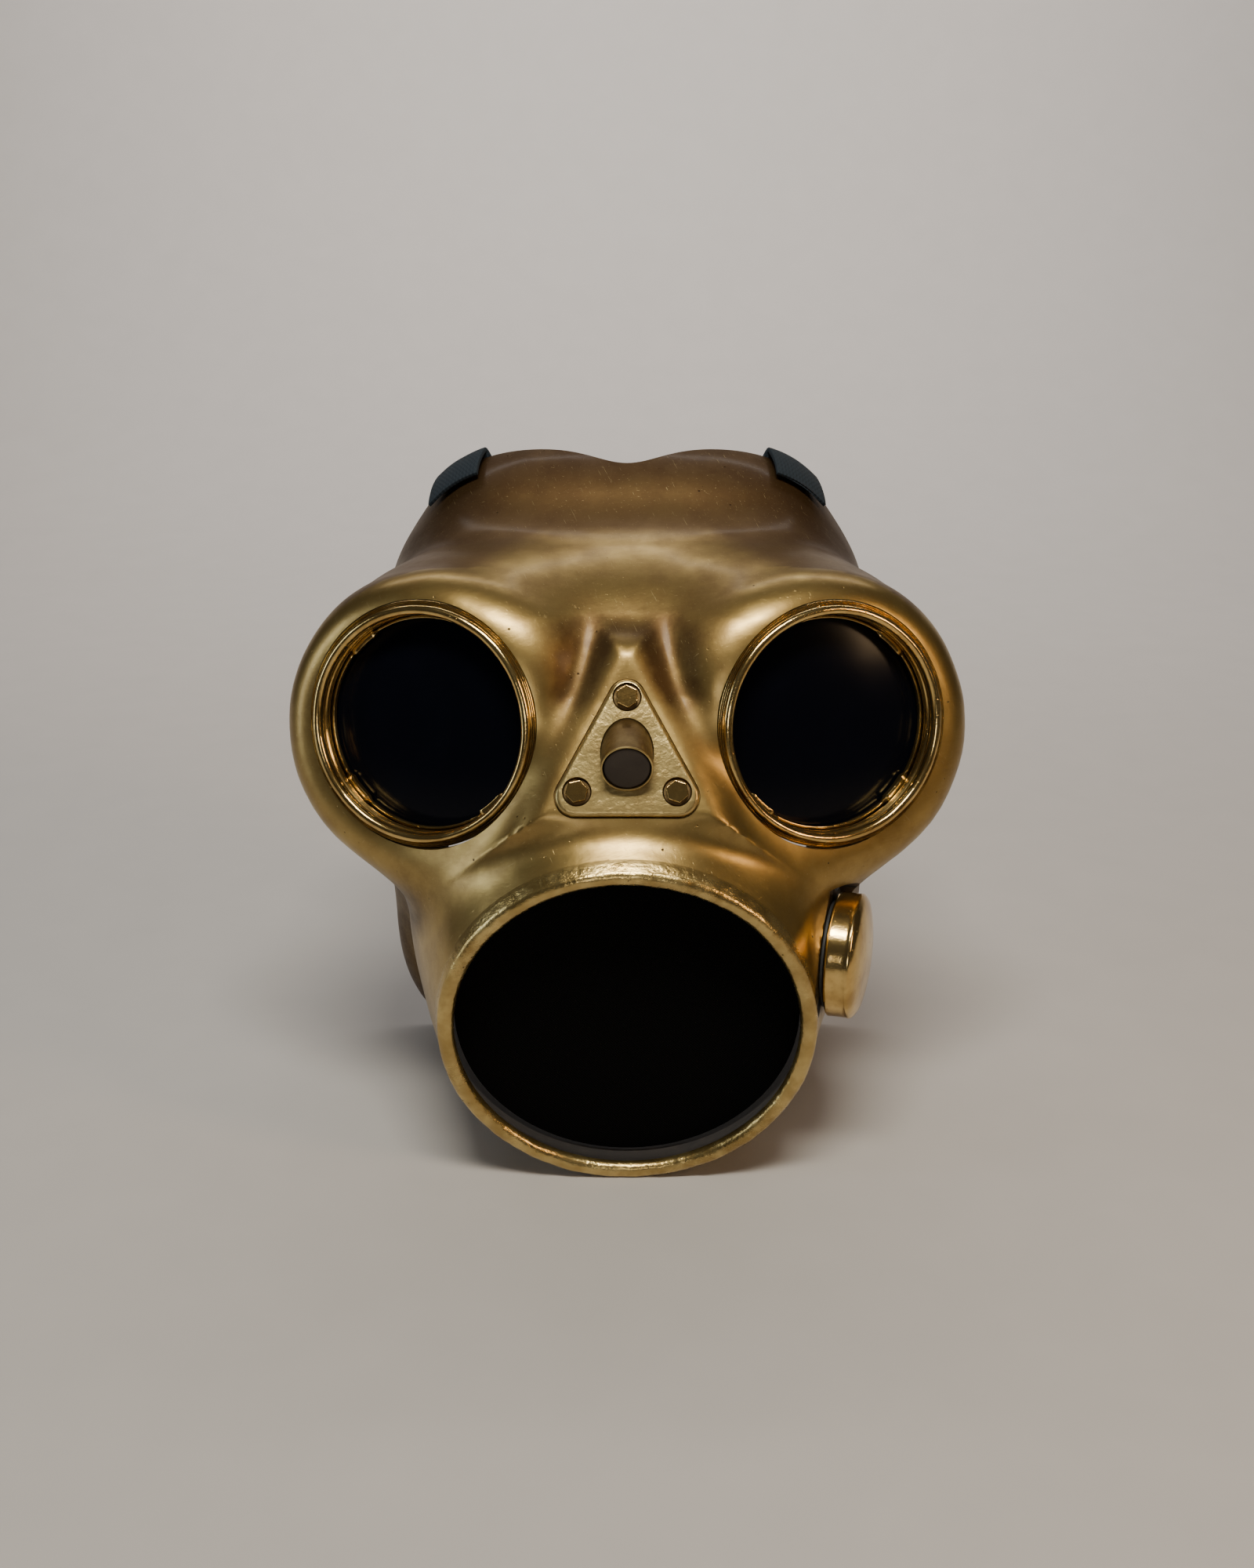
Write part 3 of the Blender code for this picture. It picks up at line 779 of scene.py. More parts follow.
# ---------------------------------------------------------------- finishes
def fine_scratches(bench: Bench, density: float) -> Wire:
    """Hairline scratches in three directions, 1 in a scratch.

    Args:
        bench: Material to add them to.
        density: Share of the surface that they take, from 0 to 1.

    Returns:
        The mask.
    """
    total: Wire | float = 0.0
    lays = (
        ((15, 40, 20), (60, 2600, 900)),
        ((-35, 10, 70), (90, 2100, 1400)),
        ((60, -25, -40), (45, 1800, 2400)),
    )
    for turn, stretch in lays:
        streak = bench.noise(1.0, 2.0, 0.5, bench.mapped(stretch, turn))
        total = total + streak.ramp(0.72 - density * 0.1, 0.80 - density * 0.1)
    return total.clamp()


@dataclass(frozen=True)
class GoldPaint:
    """Old-gold metallic paint on the shell, brushed, with a brown glaze and painted shade darkening the
    hollows, and a darker forehead that is partly painted shade.
    """

    slot: str = "gold_shell"
    bright: Colour = (0.46, 0.325, 0.110)
    deep: Colour = (0.21, 0.130, 0.042)
    # Brown glaze, also the colour of the painted shade in the hollows.
    glaze: Colour = (0.060, 0.031, 0.012)
    # Darker brown forehead: partly duller paint, partly a painted shade for the dim reflection the forehead
    # shows.
    forehead: Colour = (0.125, 0.072, 0.030)

    def dress(self) -> Material:
        """Make the material; it reads "hollow", "lip" and "forehead" from the mesh."""
        b = Bench("gold_paint")
        hollow, lip, forehead = b.stored("hollow"), b.stored("lip"), b.stored("forehead")
        cloud = b.noise(26, 4, 0.55)
        blotch = b.noise(95, 5, 0.62)
        brushed = b.noise(1.0, 3, 0.6, b.mapped((240, 520, 1500), (8, 12, 0)))
        tone = (cloud.ramp(0.30, 0.72) * 0.55 + blotch.ramp(0.35, 0.70) * 0.25 + brushed * 0.2).clamp()
        # Painted shade together with the brown glaze: the colour turns dark brown where the shell is hollow.
        stain = (hollow.ramp(0.42, 0.85) * 0.95 + (blotch - 0.5) * 0.7 * hollow.ramp(0.30, 0.7)).clamp()
        pit = b.cells(310).ramp(0.16, 0.05) * b.noise(120, 2, 0.5).ramp(0.60, 0.66)
        scratch = fine_scratches(b, 0.30)
        colour = b.mix(self.bright, self.deep, tone)
        # Darker forehead, partly painted shade.
        colour = b.mix(colour, self.forehead, forehead * (0.72 + cloud * 0.25))
        colour = b.mix(colour, self.glaze, (stain * 0.92).clamp())
        colour = b.mix(colour, (0.66, 0.50, 0.20), (lip * blotch.ramp(0.38, 0.66) * 0.75).clamp())
        colour = b.mix(colour, (0.72, 0.58, 0.28), scratch * 0.22)
        colour = b.mix(colour, (0.020, 0.012, 0.006), pit * 0.85)
        rough = 0.255 + tone * 0.09 + stain * 0.16 + forehead * 0.10 + brushed * 0.05 - lip * 0.06 + pit * 0.3
        orange_peel = b.noise(420, 2, 0.5)
        height = orange_peel * 0.22 + brushed * 0.10 + b.noise(1500, 3, 0.6) * 0.08
        height = height - scratch * 0.10 - pit * 0.9
        height = height + b.noise(60, 2, 0.5) * 1.2 + lip * b.noise(330, 4, 0.6) * 2.2
        normal = b.bump(height, 0.00016, 0.9)
        return b.finish(
            Base_Color=colour,
            Roughness=rough,
            Normal=normal,
            Metallic=0.94,
            Coat_Weight=0.10,
            Coat_Roughness=0.18,
        )


@dataclass(frozen=True)
class PolishedBrass:
    """Glossy brass with dark patina in its grooves and small dark specks."""

    slot: str = "bright_brass"
    bright: Colour = (0.70, 0.50, 0.19)
    warm: Colour = (0.46, 0.29, 0.09)
    patina: Colour = (0.040, 0.022, 0.009)

    def dress(self) -> Material:
        """Make the material; it reads "hollow" from the mesh."""
        b = Bench("polished_brass")
        hollow = b.stored("hollow")
        cloud = b.noise(60, 4, 0.6)
        grain = b.noise(520, 4, 0.65)
        speck = b.cells(620).ramp(0.22, 0.08) * b.noise(210, 2, 0.5).ramp(0.56, 0.64)
        stain = (hollow.ramp(0.53, 0.78) + (grain - 0.5) * 0.8 * hollow.ramp(0.45, 0.7)).clamp()
        film = (cloud.ramp(0.42, 0.75) * 0.35 + grain.ramp(0.55, 0.75) * 0.25).clamp()
        colour = b.mix(self.bright, self.warm, cloud.ramp(0.35, 0.70))
        colour = b.mix(colour, (0.22, 0.135, 0.05), film * 0.8)
        colour = b.mix(colour, self.patina, (stain * 0.93 + speck * 0.8).clamp())
        rough = 0.15 + film * 0.18 + stain * 0.26 + speck * 0.2
        height = grain * 0.45 + cloud * 1.1 - speck * 0.9 + b.noise(1700, 2, 0.5) * 0.12
        return b.finish(Base_Color=colour, Roughness=rough, Normal=b.bump(height, 0.00012), Metallic=0.97)


@dataclass(frozen=True)
class CastBrass:
    """Satin cast brass with soft casting marks, darker where the glaze has pooled, with painted shade on the
    plate and a browned tube side.
    """

    slot: str = "cast_brass"
    bright: Colour = (0.60, 0.46, 0.19)
    dull: Colour = (0.33, 0.23, 0.085)
    # Brown glaze, also used for the painted shade on the plate.
    glaze: Colour = (0.070, 0.040, 0.018)

    def dress(self) -> Material:
        """Make the material; it reads the hollow mark and a mark of painted shade and browned tube side from
        the mesh.
        """
        b = Bench("cast_brass")
        hollow, shade = b.stored("hollow"), b.stored("shade")
        cloud = b.noise(110, 4, 0.6)
        grain = b.noise(650, 4, 0.62)
        # Glaze in the hollows plus the stored mark: painted shade on the plate, a browned side on the tube.
        stain = (hollow.ramp(0.54, 0.80) * 0.8 + shade * (0.75 + cloud * 0.4)).clamp()
        colour = b.mix(self.bright, self.dull, (cloud.ramp(0.32, 0.68) * 0.6 + grain * 0.3).clamp())
        colour = b.mix(colour, self.glaze, stain * 0.93)
        rough = 0.27 + cloud * 0.10 + stain * 0.12
        height = cloud * 1.3 + grain * 0.55 + b.noise(240, 3, 0.5) * 0.8
        return b.finish(Base_Color=colour, Roughness=rough, Normal=b.bump(height, 0.00020), Metallic=0.95)


@dataclass(frozen=True)
class PlainFinish:
    """Matte or glossy material with a little cloud and grain in its colour and surface."""

    slot: str
    colour: Colour
    light: Colour
    rough: float
    metal: float = 0.0
    grain: float = 700.0
    relief: float = 0.00005
    gloss: float = 0.5

    def dress(self) -> Material:
        """Make the material."""
        b = Bench(self.slot)
        cloud = b.noise(self.grain * 0.12, 3, 0.5)
        grain = b.noise(self.grain, 3, 0.6)
        share = (cloud.ramp(0.4, 0.7) * 0.6 + grain.ramp(0.5, 0.75) * 0.4).clamp()
        colour = b.mix(self.colour, self.light, share)
        rough = self.rough * 0.9 + grain * self.rough * 0.2
        return b.finish(
            Base_Color=colour,
            Roughness=rough,
            Normal=b.bump(grain + cloud, self.relief),
            Metallic=self.metal,
            Specular_IOR_Level=self.gloss,
        )


@dataclass(frozen=True)
class Webbing:
    """Navy-black woven webbing: ribs along the strap, crossed by the weft."""

    slot: str = "navy_webbing"
    yarn: Colour = (0.0035, 0.0080, 0.0130)
    worn: Colour = (0.012, 0.022, 0.031)
    ribs: float = 15.0
    picks_per_metre: float = 1150.0
    length: float = 0.04

    def dress(self) -> Material:
        """Make the material; it reads the strap's own UV map."""
        b = Bench(f"{self.slot}_{int(self.length * 1000)}")
        split = self.split_uv(b)
        across = b.math("SINE", split[0] * (math.tau * self.ribs))
        along = b.math("SINE", split[1] * (math.tau * self.picks_per_metre * self.length / 2))
        weave = (across * along * 0.5 + 0.5).clamp()
        rib = (across * 0.5 + 0.5).clamp()
        fuzz = b.noise(1400, 3, 0.7)
        colour = b.mix(self.yarn, self.worn, (weave * 0.35 + fuzz.ramp(0.5, 0.8) * 0.5).clamp())
        normal = b.bump(weave * 0.6 + rib * 0.5 + fuzz * 0.3, 0.00022)
        rough = 0.80 + fuzz * 0.12
        return b.finish(Base_Color=colour, Roughness=rough, Normal=normal, Specular_IOR_Level=0.35)

    @staticmethod
    def split_uv(b: Bench) -> tuple[Wire, Wire]:
        """U and V of the piece's own map."""
        uv = b.node("ShaderNodeTexCoord", output="UV")
        split = b.node("ShaderNodeSeparateXYZ", None, {0: uv})
        return split, Wire(b, split.socket.node.outputs[1])


@dataclass(frozen=True)
class Cloth:
    """Fine black cloth: a plain weave in the piece's own coordinates."""

    slot: str
    colour: Colour = (0.010, 0.010, 0.011)
    light: Colour = (0.030, 0.029, 0.029)
    threads: float = 1300.0
    gloss: float = 0.3

    def dress(self) -> Material:
        """Make the material."""
        b = Bench(self.slot)
        split = b.node("ShaderNodeSeparateXYZ", None, {0: b.place()})
        x, z = split, Wire(b, split.socket.node.outputs[2])
        pace = math.tau * self.threads / 2
        weave = b.math("SINE", x * pace) * b.math("SINE", z * pace)
        fuzz = b.noise(900, 4, 0.7)
        raised = (weave * 0.5 + 0.5).clamp()
        colour = b.mix(self.colour, self.light, (raised * 0.4 + fuzz * 0.3).clamp())
        normal = b.bump(raised + fuzz * 0.5, 0.00015)
        return b.finish(Base_Color=colour, Roughness=0.93, Normal=normal, Specular_IOR_Level=self.gloss)


class Finishes:
    """Every material of the mask, made once."""

    def __init__(self) -> None:
        """Make them."""
        self.gold = GoldPaint().dress()
        self.brass = PolishedBrass().dress()
        self.cast = CastBrass().dress()
        # Near-black inside of the shell: dark lining paint that also stands for the shade inside.
        self.lining = PlainFinish(
            "shell_lining", (0.012, 0.010, 0.009), (0.030, 0.024, 0.020), 0.75, grain=240, relief=0.00012
        ).dress()
        self.rubber = PlainFinish(
            "black_rubber", (0.012, 0.012, 0.012), (0.026, 0.026, 0.026), 0.62
        ).dress()
        self.lens = PlainFinish(
            "smoked_lens",
            (0.0015, 0.0018, 0.0035),
            (0.0020, 0.0024, 0.0048),
            0.16,
            grain=60,
            relief=0.00001,
            gloss=0.10,
        ).dress()
        # Near-black plug: painted shade for the tube's end face, which looks down into shade.
        self.plug = PlainFinish(
            "dark_plug", (0.026, 0.0200, 0.0150), (0.036, 0.028, 0.021), 0.60, grain=900, gloss=0.3
        ).dress()
        # Near-black ring, darkened so that it also reads as the shade inside the mouth.
        self.plastic = PlainFinish(
            "black_plastic", (0.002, 0.002, 0.002), (0.004, 0.004, 0.004), 0.6, gloss=0.15
        ).dress()
        self.steel = PlainFinish(
            "zinc_steel", (0.42, 0.42, 0.40), (0.60, 0.59, 0.55), 0.32, 0.96, 500, 0.00006
        ).dress()
        # Near-black mesh across the mouth; its black also paints the shade inside the mouth.
        self.mesh = Cloth(
            "black_mesh", (0.0012, 0.0012, 0.0012), (0.0030, 0.0030, 0.0030), 1800, 0.05
        ).dress()
        self.foam = Cloth("black_foam").dress()
        self.webbing = Webbing().dress()
        self.long_webbing = Webbing(length=0.24).dress()


def settle(piece: Object, finish: Material, slot: str, body: str, *stands_for: str) -> None:
    """Give a finished piece its material, the body it rides on and the nodes it stands for.

    Args:
        piece: Finished mesh.
        finish: Its material, put first.
        slot: The record's material slot; not used.
        body: CAD body that carries it.
        stands_for: CAD nodes that it replaces.
    """
    if not piece.data.materials:
        piece.data.materials.append(finish)
    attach(piece, body)
    if stands_for:
        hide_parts(*stands_for)
    LOG.info("%s: %d faces on %s", piece.name, len(piece.data.polygons), body)


# ---------------------------------------------------------------- shell
@dataclass
class MaskShell:
    """One-piece shell with a rolled lip, two eye openings, a plate pocket and a port hole."""

    finishes: Finishes
    spokes: int = 336
    outer_rows: int = 165
    inner_rows: int = 56
    lip_rows: int = 20
    waviness: float = 0.00022
    trim: float = 0.00038

    def build(self) -> Object:
        """Build and dress the shell.

        Returns:
            The shell.
        """
        shell = self.skin()
        for cutter in self.openings():
            cut(shell, cutter)
        smooth(shell, 32)
        self.store_masks(shell)
        shell.data.materials.append(self.finishes.gold)
        shell.data.materials.append(self.finishes.lining)
        self.line_inside(shell)
        settle(shell, self.finishes.gold, "gold_shell", "shell", "mask_shell")
        return shell

    def wander(self, angles: Array, seed: float) -> Array:
        """Uneven line of a hand-trimmed edge.

        Args:
            angles: Stations around the edge.
            seed: Shift of the pattern.

        Returns:
            Offsets between about -1 and 1.
        """
        wave = np.sin(angles * 3 + seed) * 0.4 + np.sin(angles * 7 + seed * 2.3) * 0.25
        nicks = np.array([noise.noise((math.cos(a) * 9 + seed, math.sin(a) * 9, seed)) for a in angles])
        fine = np.array([noise.noise((math.cos(a) * 30, math.sin(a) * 30 + seed, seed)) for a in angles])
        return wave + nicks * 0.9 + fine * 0.5

    def skin(self) -> Object:
        """Closed skin: outside, inside and the roll of the lip."""
        angles = np.linspace(0, math.tau, self.spokes, endpoint=False)
        start = FORM.mouth_ring(angles, FORM.lip_radius, 0)
        outer = FORM.cast(FORM.rays(angles, self.outer_rows, start), 0.0)
        start = FORM.mouth_ring(angles, FORM.lip_radius - FORM.wall, -0.007)
        inner = FORM.cast(FORM.rays(angles, self.inner_rows, start), FORM.wall)
        outer = self.worked(outer)
        swell = 1 + 0.10 * self.wander(angles, 1.3)
        shift = self.trim * self.wander(angles, 4.1)
        roll = []
        for turn in np.linspace(math.radians(150), math.radians(-20), self.lip_rows):
            weight = math.sin(max(turn, 0.0))
            reach = FORM.mouth_radius + FORM.lip_roll - FORM.lip_roll * math.cos(turn) + shift * weight
            roll.append(FORM.mouth_ring(angles, reach, FORM.lip_roll * math.sin(turn) * swell - 0.0006))
        rows = np.array(list(outer) + list(inner[::-1]) + roll[::-1])
        rows = np.pad(rows, ((0, 1), (0, 1), (0, 0)), "wrap") + [0, FORWARD, 0]
        rows[..., 2] = np.maximum(rows[..., 2], 0.0)
        focus_nothing()
        bpy.ops.mesh.primitive_grid_add(x_subdivisions=self.spokes, y_subdivisions=len(rows) - 1, size=1)
        shell = added("gold_mask_shell")
        move_to(shell, rows)
        close_up(shell)
        return shell

    def worked(self, outer: Array) -> Array:
        """Outside points with the low waves of a hand-finished surface, still at the two edges."""
        flat = outer.reshape(-1, 3)
        broad = np.array([noise.noise(Vector(p) * 42) for p in flat])
        fine = np.array([noise.noise(Vector(p) * 95 + Vector((7, 1, 3))) for p in flat])
        waves = broad + 0.5 * fine
        rows = np.linspace(0, 1, len(outer))
        calm = np.minimum(np.minimum(rows / 0.03, (1 - rows) / 0.03), 1)
        push = (waves.reshape(outer.shape[:2]) * calm[:, None] * self.waviness)[..., None]
        return outer + FORM.normal(outer) * push

    def openings(self) -> Iterator[Object]:
        """Cutters for the eyes, the plate's pocket, the port and the bolts."""
        eye = EyeAssembly
        for side in Side:
            hole, ledge = eye.sleeve + GAP, eye.flange + GAP
            profile = [(0, -0.030), (hole, -0.030), (hole, eye.seat)]
            profile += [(ledge, eye.seat), (ledge, 0.020), (0, 0.020)]
            yield turned(f"cutter_{side.word}", profile, EyeAssembly.seat_of(side), 160)
        place = NosePlate.place()
        yield outline_solid("cutter_pocket", -0.0005, ((0, NosePlate.seat), (0, 0.012)), place)
        port = placement(FORM.port_centre, direction(FORM.port_yaw, 0))
        face = ((0, 0.0001), (0.0260, 0.0001), (0.0260, 0.020), (0, 0.020))
        yield turned("cutter_port_face", face, port, 96)
        nut = NosePlate.nut_seat
        bore = ((0, -0.030), (0.0165, -0.030), (0.0165, nut), (0.0101, nut), (0.0101, 0.004), (0, 0.004))
        yield turned("cutter_port_bore", bore, port, 64)
        for x, y in NosePlate.bolts.values():
            bore = ((0, -0.020), (0.0058, -0.020), (0.0058, nut), (0.0022, nut), (0.0022, 0.004), (0, 0.004))
            yield turned("cutter_bolt", bore, place @ Matrix.Translation((x, y, 0)), 40)

    def store_masks(self, shell: Object) -> None:
        """Store where the shell is hollow, where it is lip and where it is forehead."""
        p = coordinates(shell) - [0, FORWARD, 0]
        n = FORM.normal(p)
        # The hollow mark drives the painted shade and glaze in the gold paint.
        broad = 1 - FORM.field(p + n * 0.014) / 0.014
        tight = 1 - FORM.field(p + n * 0.005) / 0.005
        set_attribute(shell, "hollow", np.clip(0.35 + broad * 0.9 + tight * 0.6, 0, 1))
        out = FORM.mouth_axes()[1]
        q = p - np.array(FORM.mouth_centre)
        ahead = q @ out
        around = np.sqrt(np.maximum((q * q).sum(1) - ahead**2, 0))
        ring = np.hypot(around - FORM.mouth_radius - FORM.lip_roll, ahead)
        set_attribute(shell, "lip", np.clip((FORM.lip_roll * 1.9 - ring) / (FORM.lip_roll * 0.6), 0, 1))
        # Forehead mark: where the gold paint turns darker and rougher, partly as painted shade.
        rise = p[:, 2] - (0.2225 - 0.5 * np.maximum(np.abs(p[:, 0]) - 0.03, 0) ** 1.0 * 0.6)
        set_attribute(shell, "forehead", np.clip(rise / 0.004, 0, 1) * (p[:, 1] > 0.045))

    def line_inside(self, shell: Object) -> None:
        """Give the inner faces the dark lining, which also paints the shade inside the shell."""
        count = len(shell.data.polygons)
        centres = np.zeros(count * 3)
        shell.data.polygons.foreach_get("center", centres)
        p = centres.reshape(-1, 3) - [0, FORWARD, 0]
        depth = FORM.field(p)
        out = FORM.mouth_axes()[1]
        ahead = (p - np.array(FORM.mouth_centre)) @ out
        inside = (depth < -FORM.wall * 0.6) & (ahead < -0.0022)
        shell.data.polygons.foreach_set("material_index", inside.astype(np.int32))


def outline_solid(
    name: str, inset: float, layers: Profile, place: Matrix, steps: int = 180
) -> Object:
    """Solid with the nose plate's three-cornered outline.

    Args:
        name: Name of the piece.
        inset: How far its sides lie inside the plate's outline.
        layers: Pairs of further inset and height, from the bottom up.
        place: Where it goes.
        steps: Points around the outline.

    Returns:
        The piece.
    """
    focus_nothing()
    bpy.ops.mesh.primitive_circle_add(vertices=steps, radius=1, fill_type="NGON")
    piece = added(name)
    rings = [NosePlate.outline(inset + further, height, steps) for further, height in layers]
    move_to(piece, rings[0])
    for ring in rings[1:]:
        with editing(piece):
            bpy.ops.mesh.select_all(action="DESELECT")
            bpy.ops.mesh.select_mode(type="FACE")
            bpy.ops.object.mode_set(mode="OBJECT")
            widest = max(piece.data.polygons, key=lambda f: (len(f.vertices), f.center.z))
            widest.select = True
            bpy.ops.object.mode_set(mode="EDIT")
            bpy.ops.mesh.extrude_region_move()
        picked = [v.index for v in piece.data.vertices if v.select]
        places = coordinates(piece)
        places[picked] = match_ring(places[picked], ring)
        move_to(piece, places)
    close_up(piece)
    piece.data.transform(place)
    return piece


def match_ring(places: Array, ring: Array) -> Array:
    """Order a ring's points by angle so that each goes to the place with the same angle."""
    centre = np.array([0.0, -0.005])
    by_place = np.argsort(np.arctan2(*(places[:, :2] - centre).T[::-1]))
    by_ring = np.argsort(np.arctan2(*(ring[:, :2] - centre).T[::-1]))
    found = np.zeros_like(places)
    found[by_place] = ring[by_ring]
    return found


# ---------------------------------------------------------------- eyes
@dataclass
class EyeAssembly:
    """Bezel, gasket, lens and the bayonet ring that holds the lens."""

    finishes: Finishes
    side: Side
    seat: float = -0.0022
    flange: float = 0.0433
    sleeve: float = 0.0407
    lens_radius: float = 0.0378
    lug_turn: float = 18.0

    @staticmethod
    def seat_of(side: Side) -> Matrix:
        """Placement of one eye, whose Z axis looks out of it."""
        centre = np.array(FORM.eye_centre) * [side.value, 1, 1]
        return placement(centre, direction(side.value * FORM.eye_yaw, FORM.eye_lift))

    def build(self) -> list[Object]:
        """Build and dress one eye.

        Returns:
            Its pieces.
        """
        word = self.side.word
        place = self.seat_of(self.side)
        bezel = turned(f"brass_bezel_{word}", self.bezel_profile(), place, 224)
        ripple(bezel, 0.00010, 0.006, 3.0 + self.side.value)
        mark_hollows(bezel, 1.9, 2)
        smooth(bezel, 40)
        settle(bezel, self.finishes.brass, "bright_brass", "shell", f"eye_bezel_{word}")
        seal = ((0.0368, -0.0109), (0.0378, -0.0109), (0.0378, -0.0098), (0.0368, -0.0098))
        gasket = turned(f"lens_seal_{word}", seal, place, 96)
        soften(gasket, 0.0002)
        smooth(gasket)
        settle(gasket, self.finishes.rubber, "black_rubber", "shell", f"lens_gasket_{word}")
        lens = turned(f"dark_lens_{word}", self.lens_profile(), place, 128)
        smooth(lens)
        settle(lens, self.finishes.lens, "smoked_lens", "shell", f"lens_{word}")
        return [bezel, gasket, lens, self.retainer(word, place)]

    def bezel_profile(self) -> list[tuple[float, float]]:
        """Loop of the bezel: fine ridges, main bead, groove, stepped wall and sleeve."""
        profile = [(self.flange, self.seat + GAP), (self.flange, 0.0006)]
        ridges = ((0.0430, 0.0009, 0.00028), (0.0424, 0.0011, 0.00026), (0.0418, 0.0013, 0.00022))
        for middle, height, radius in ridges:
            for turn in np.linspace(0.1, math.pi - 0.1, 6):
                profile.append((middle + radius * math.cos(turn), height + radius * 1.4 * math.sin(turn)))
        for turn in np.linspace(0.25, math.pi - 0.10, 16):
            profile.append((0.0400 + 0.0017 * math.cos(turn), 0.0019 + 0.0017 * math.sin(turn)))
        profile += [(0.0383, 0.0006), (0.0386, -0.0001), (0.0388, -0.0006), (0.0386, -0.0011)]
        profile += [(0.0382, -0.0014), (0.03800, -0.0018), (0.03805, -0.0024), (0.0383, -0.0027)]
        profile += [(0.0381, -0.0031), (0.0381, -0.0036), (0.0393, -0.0036), (0.0393, -0.0070)]
        profile += [(0.0381, -0.0070), (0.0381, -0.0112), (0.0366, -0.0112), (0.0366, -0.0128)]
        profile += [(self.sleeve, -0.0128), (self.sleeve, self.seat + GAP)]
        return profile

    def lens_profile(self) -> list[tuple[float, float]]:
        """Loop of the domed lens, which meets the axis."""
        dome = [(0.0, -0.0056), (0.0060, -0.00562), (0.0160, -0.0059), (0.0230, -0.00625), (0.0300, -0.0069)]
        edge = [(0.0360, -0.0075), (self.lens_radius, -0.0078), (self.lens_radius, -0.0095)]
        return dome + edge + [(0.0300, -0.0088), (0.0160, -0.0078), (0.0, -0.0074)]

    def retainer(self, word: str, place: Matrix) -> Object:
        """Thin ring with four lugs that reach into the bezel's groove."""
        steps = 240
        focus_nothing()
        bpy.ops.mesh.primitive_torus_add(major_segments=steps, minor_segments=12)
        ring = added(f"bayonet_ring_{word}")
        points = []
        for k in range(steps):
            angle = math.tau * k / steps
            turn = (math.degrees(angle) - 45) % 90
            from_lug = min(turn, 90 - turn)
            lug = float(np.clip((self.lug_turn / 2 - from_lug) / 0.8 + 0.5, 0, 1))
            step = float(np.clip((self.lug_turn / 2 + 1.6 - from_lug) / 0.8 + 0.5, 0, 1)) - lug
            inner = 0.0369 - 0.0009 * lug + 0.0003 * step
            outer = self.lens_radius + 0.0012 * lug
            top = -0.0047 + 0.0007 * lug - 0.0006 * step
            section = self.section(inner, outer, -0.0066, top)
            points += [(r * math.cos(angle), r * math.sin(angle), z) for r, z in section]
        move_to(ring, np.array(points))
        close_up(ring)
        ring.data.transform(place)
        ripple(ring, 0.00008, 0.003, 9.0)
        mark_hollows(ring, 1.4, 2)
        smooth(ring, 40)
        settle(ring, self.finishes.brass, "bright_brass", f"retainer_{word}", f"lens_retainer_{word}")
        return ring

    @staticmethod
    def section(inner: float, outer: float, low: float, high: float) -> list[tuple[float, float]]:
        """Rectangular section with softened corners, twelve points.

        Args:
            inner: Inner radius.
            outer: Outer radius.
            low: Height of its underside.
            high: Height of its top.

        Returns:
            Loop of (radius, height) pairs.
        """
        soft = 0.00018
        loop = []
        corners = ((inner, low, 1, 1), (outer, low, -1, 1), (outer, high, -1, -1), (inner, high, 1, -1))
        for r, z, sr, sz in corners:
            first, last = (r, z + soft * sz), (r + soft * sr, z)
            middle = (r + soft * 0.3 * sr, z + soft * 0.3 * sz)
            loop += [first, middle, last] if (sr * sz > 0) else [last, middle, first]
        return loop


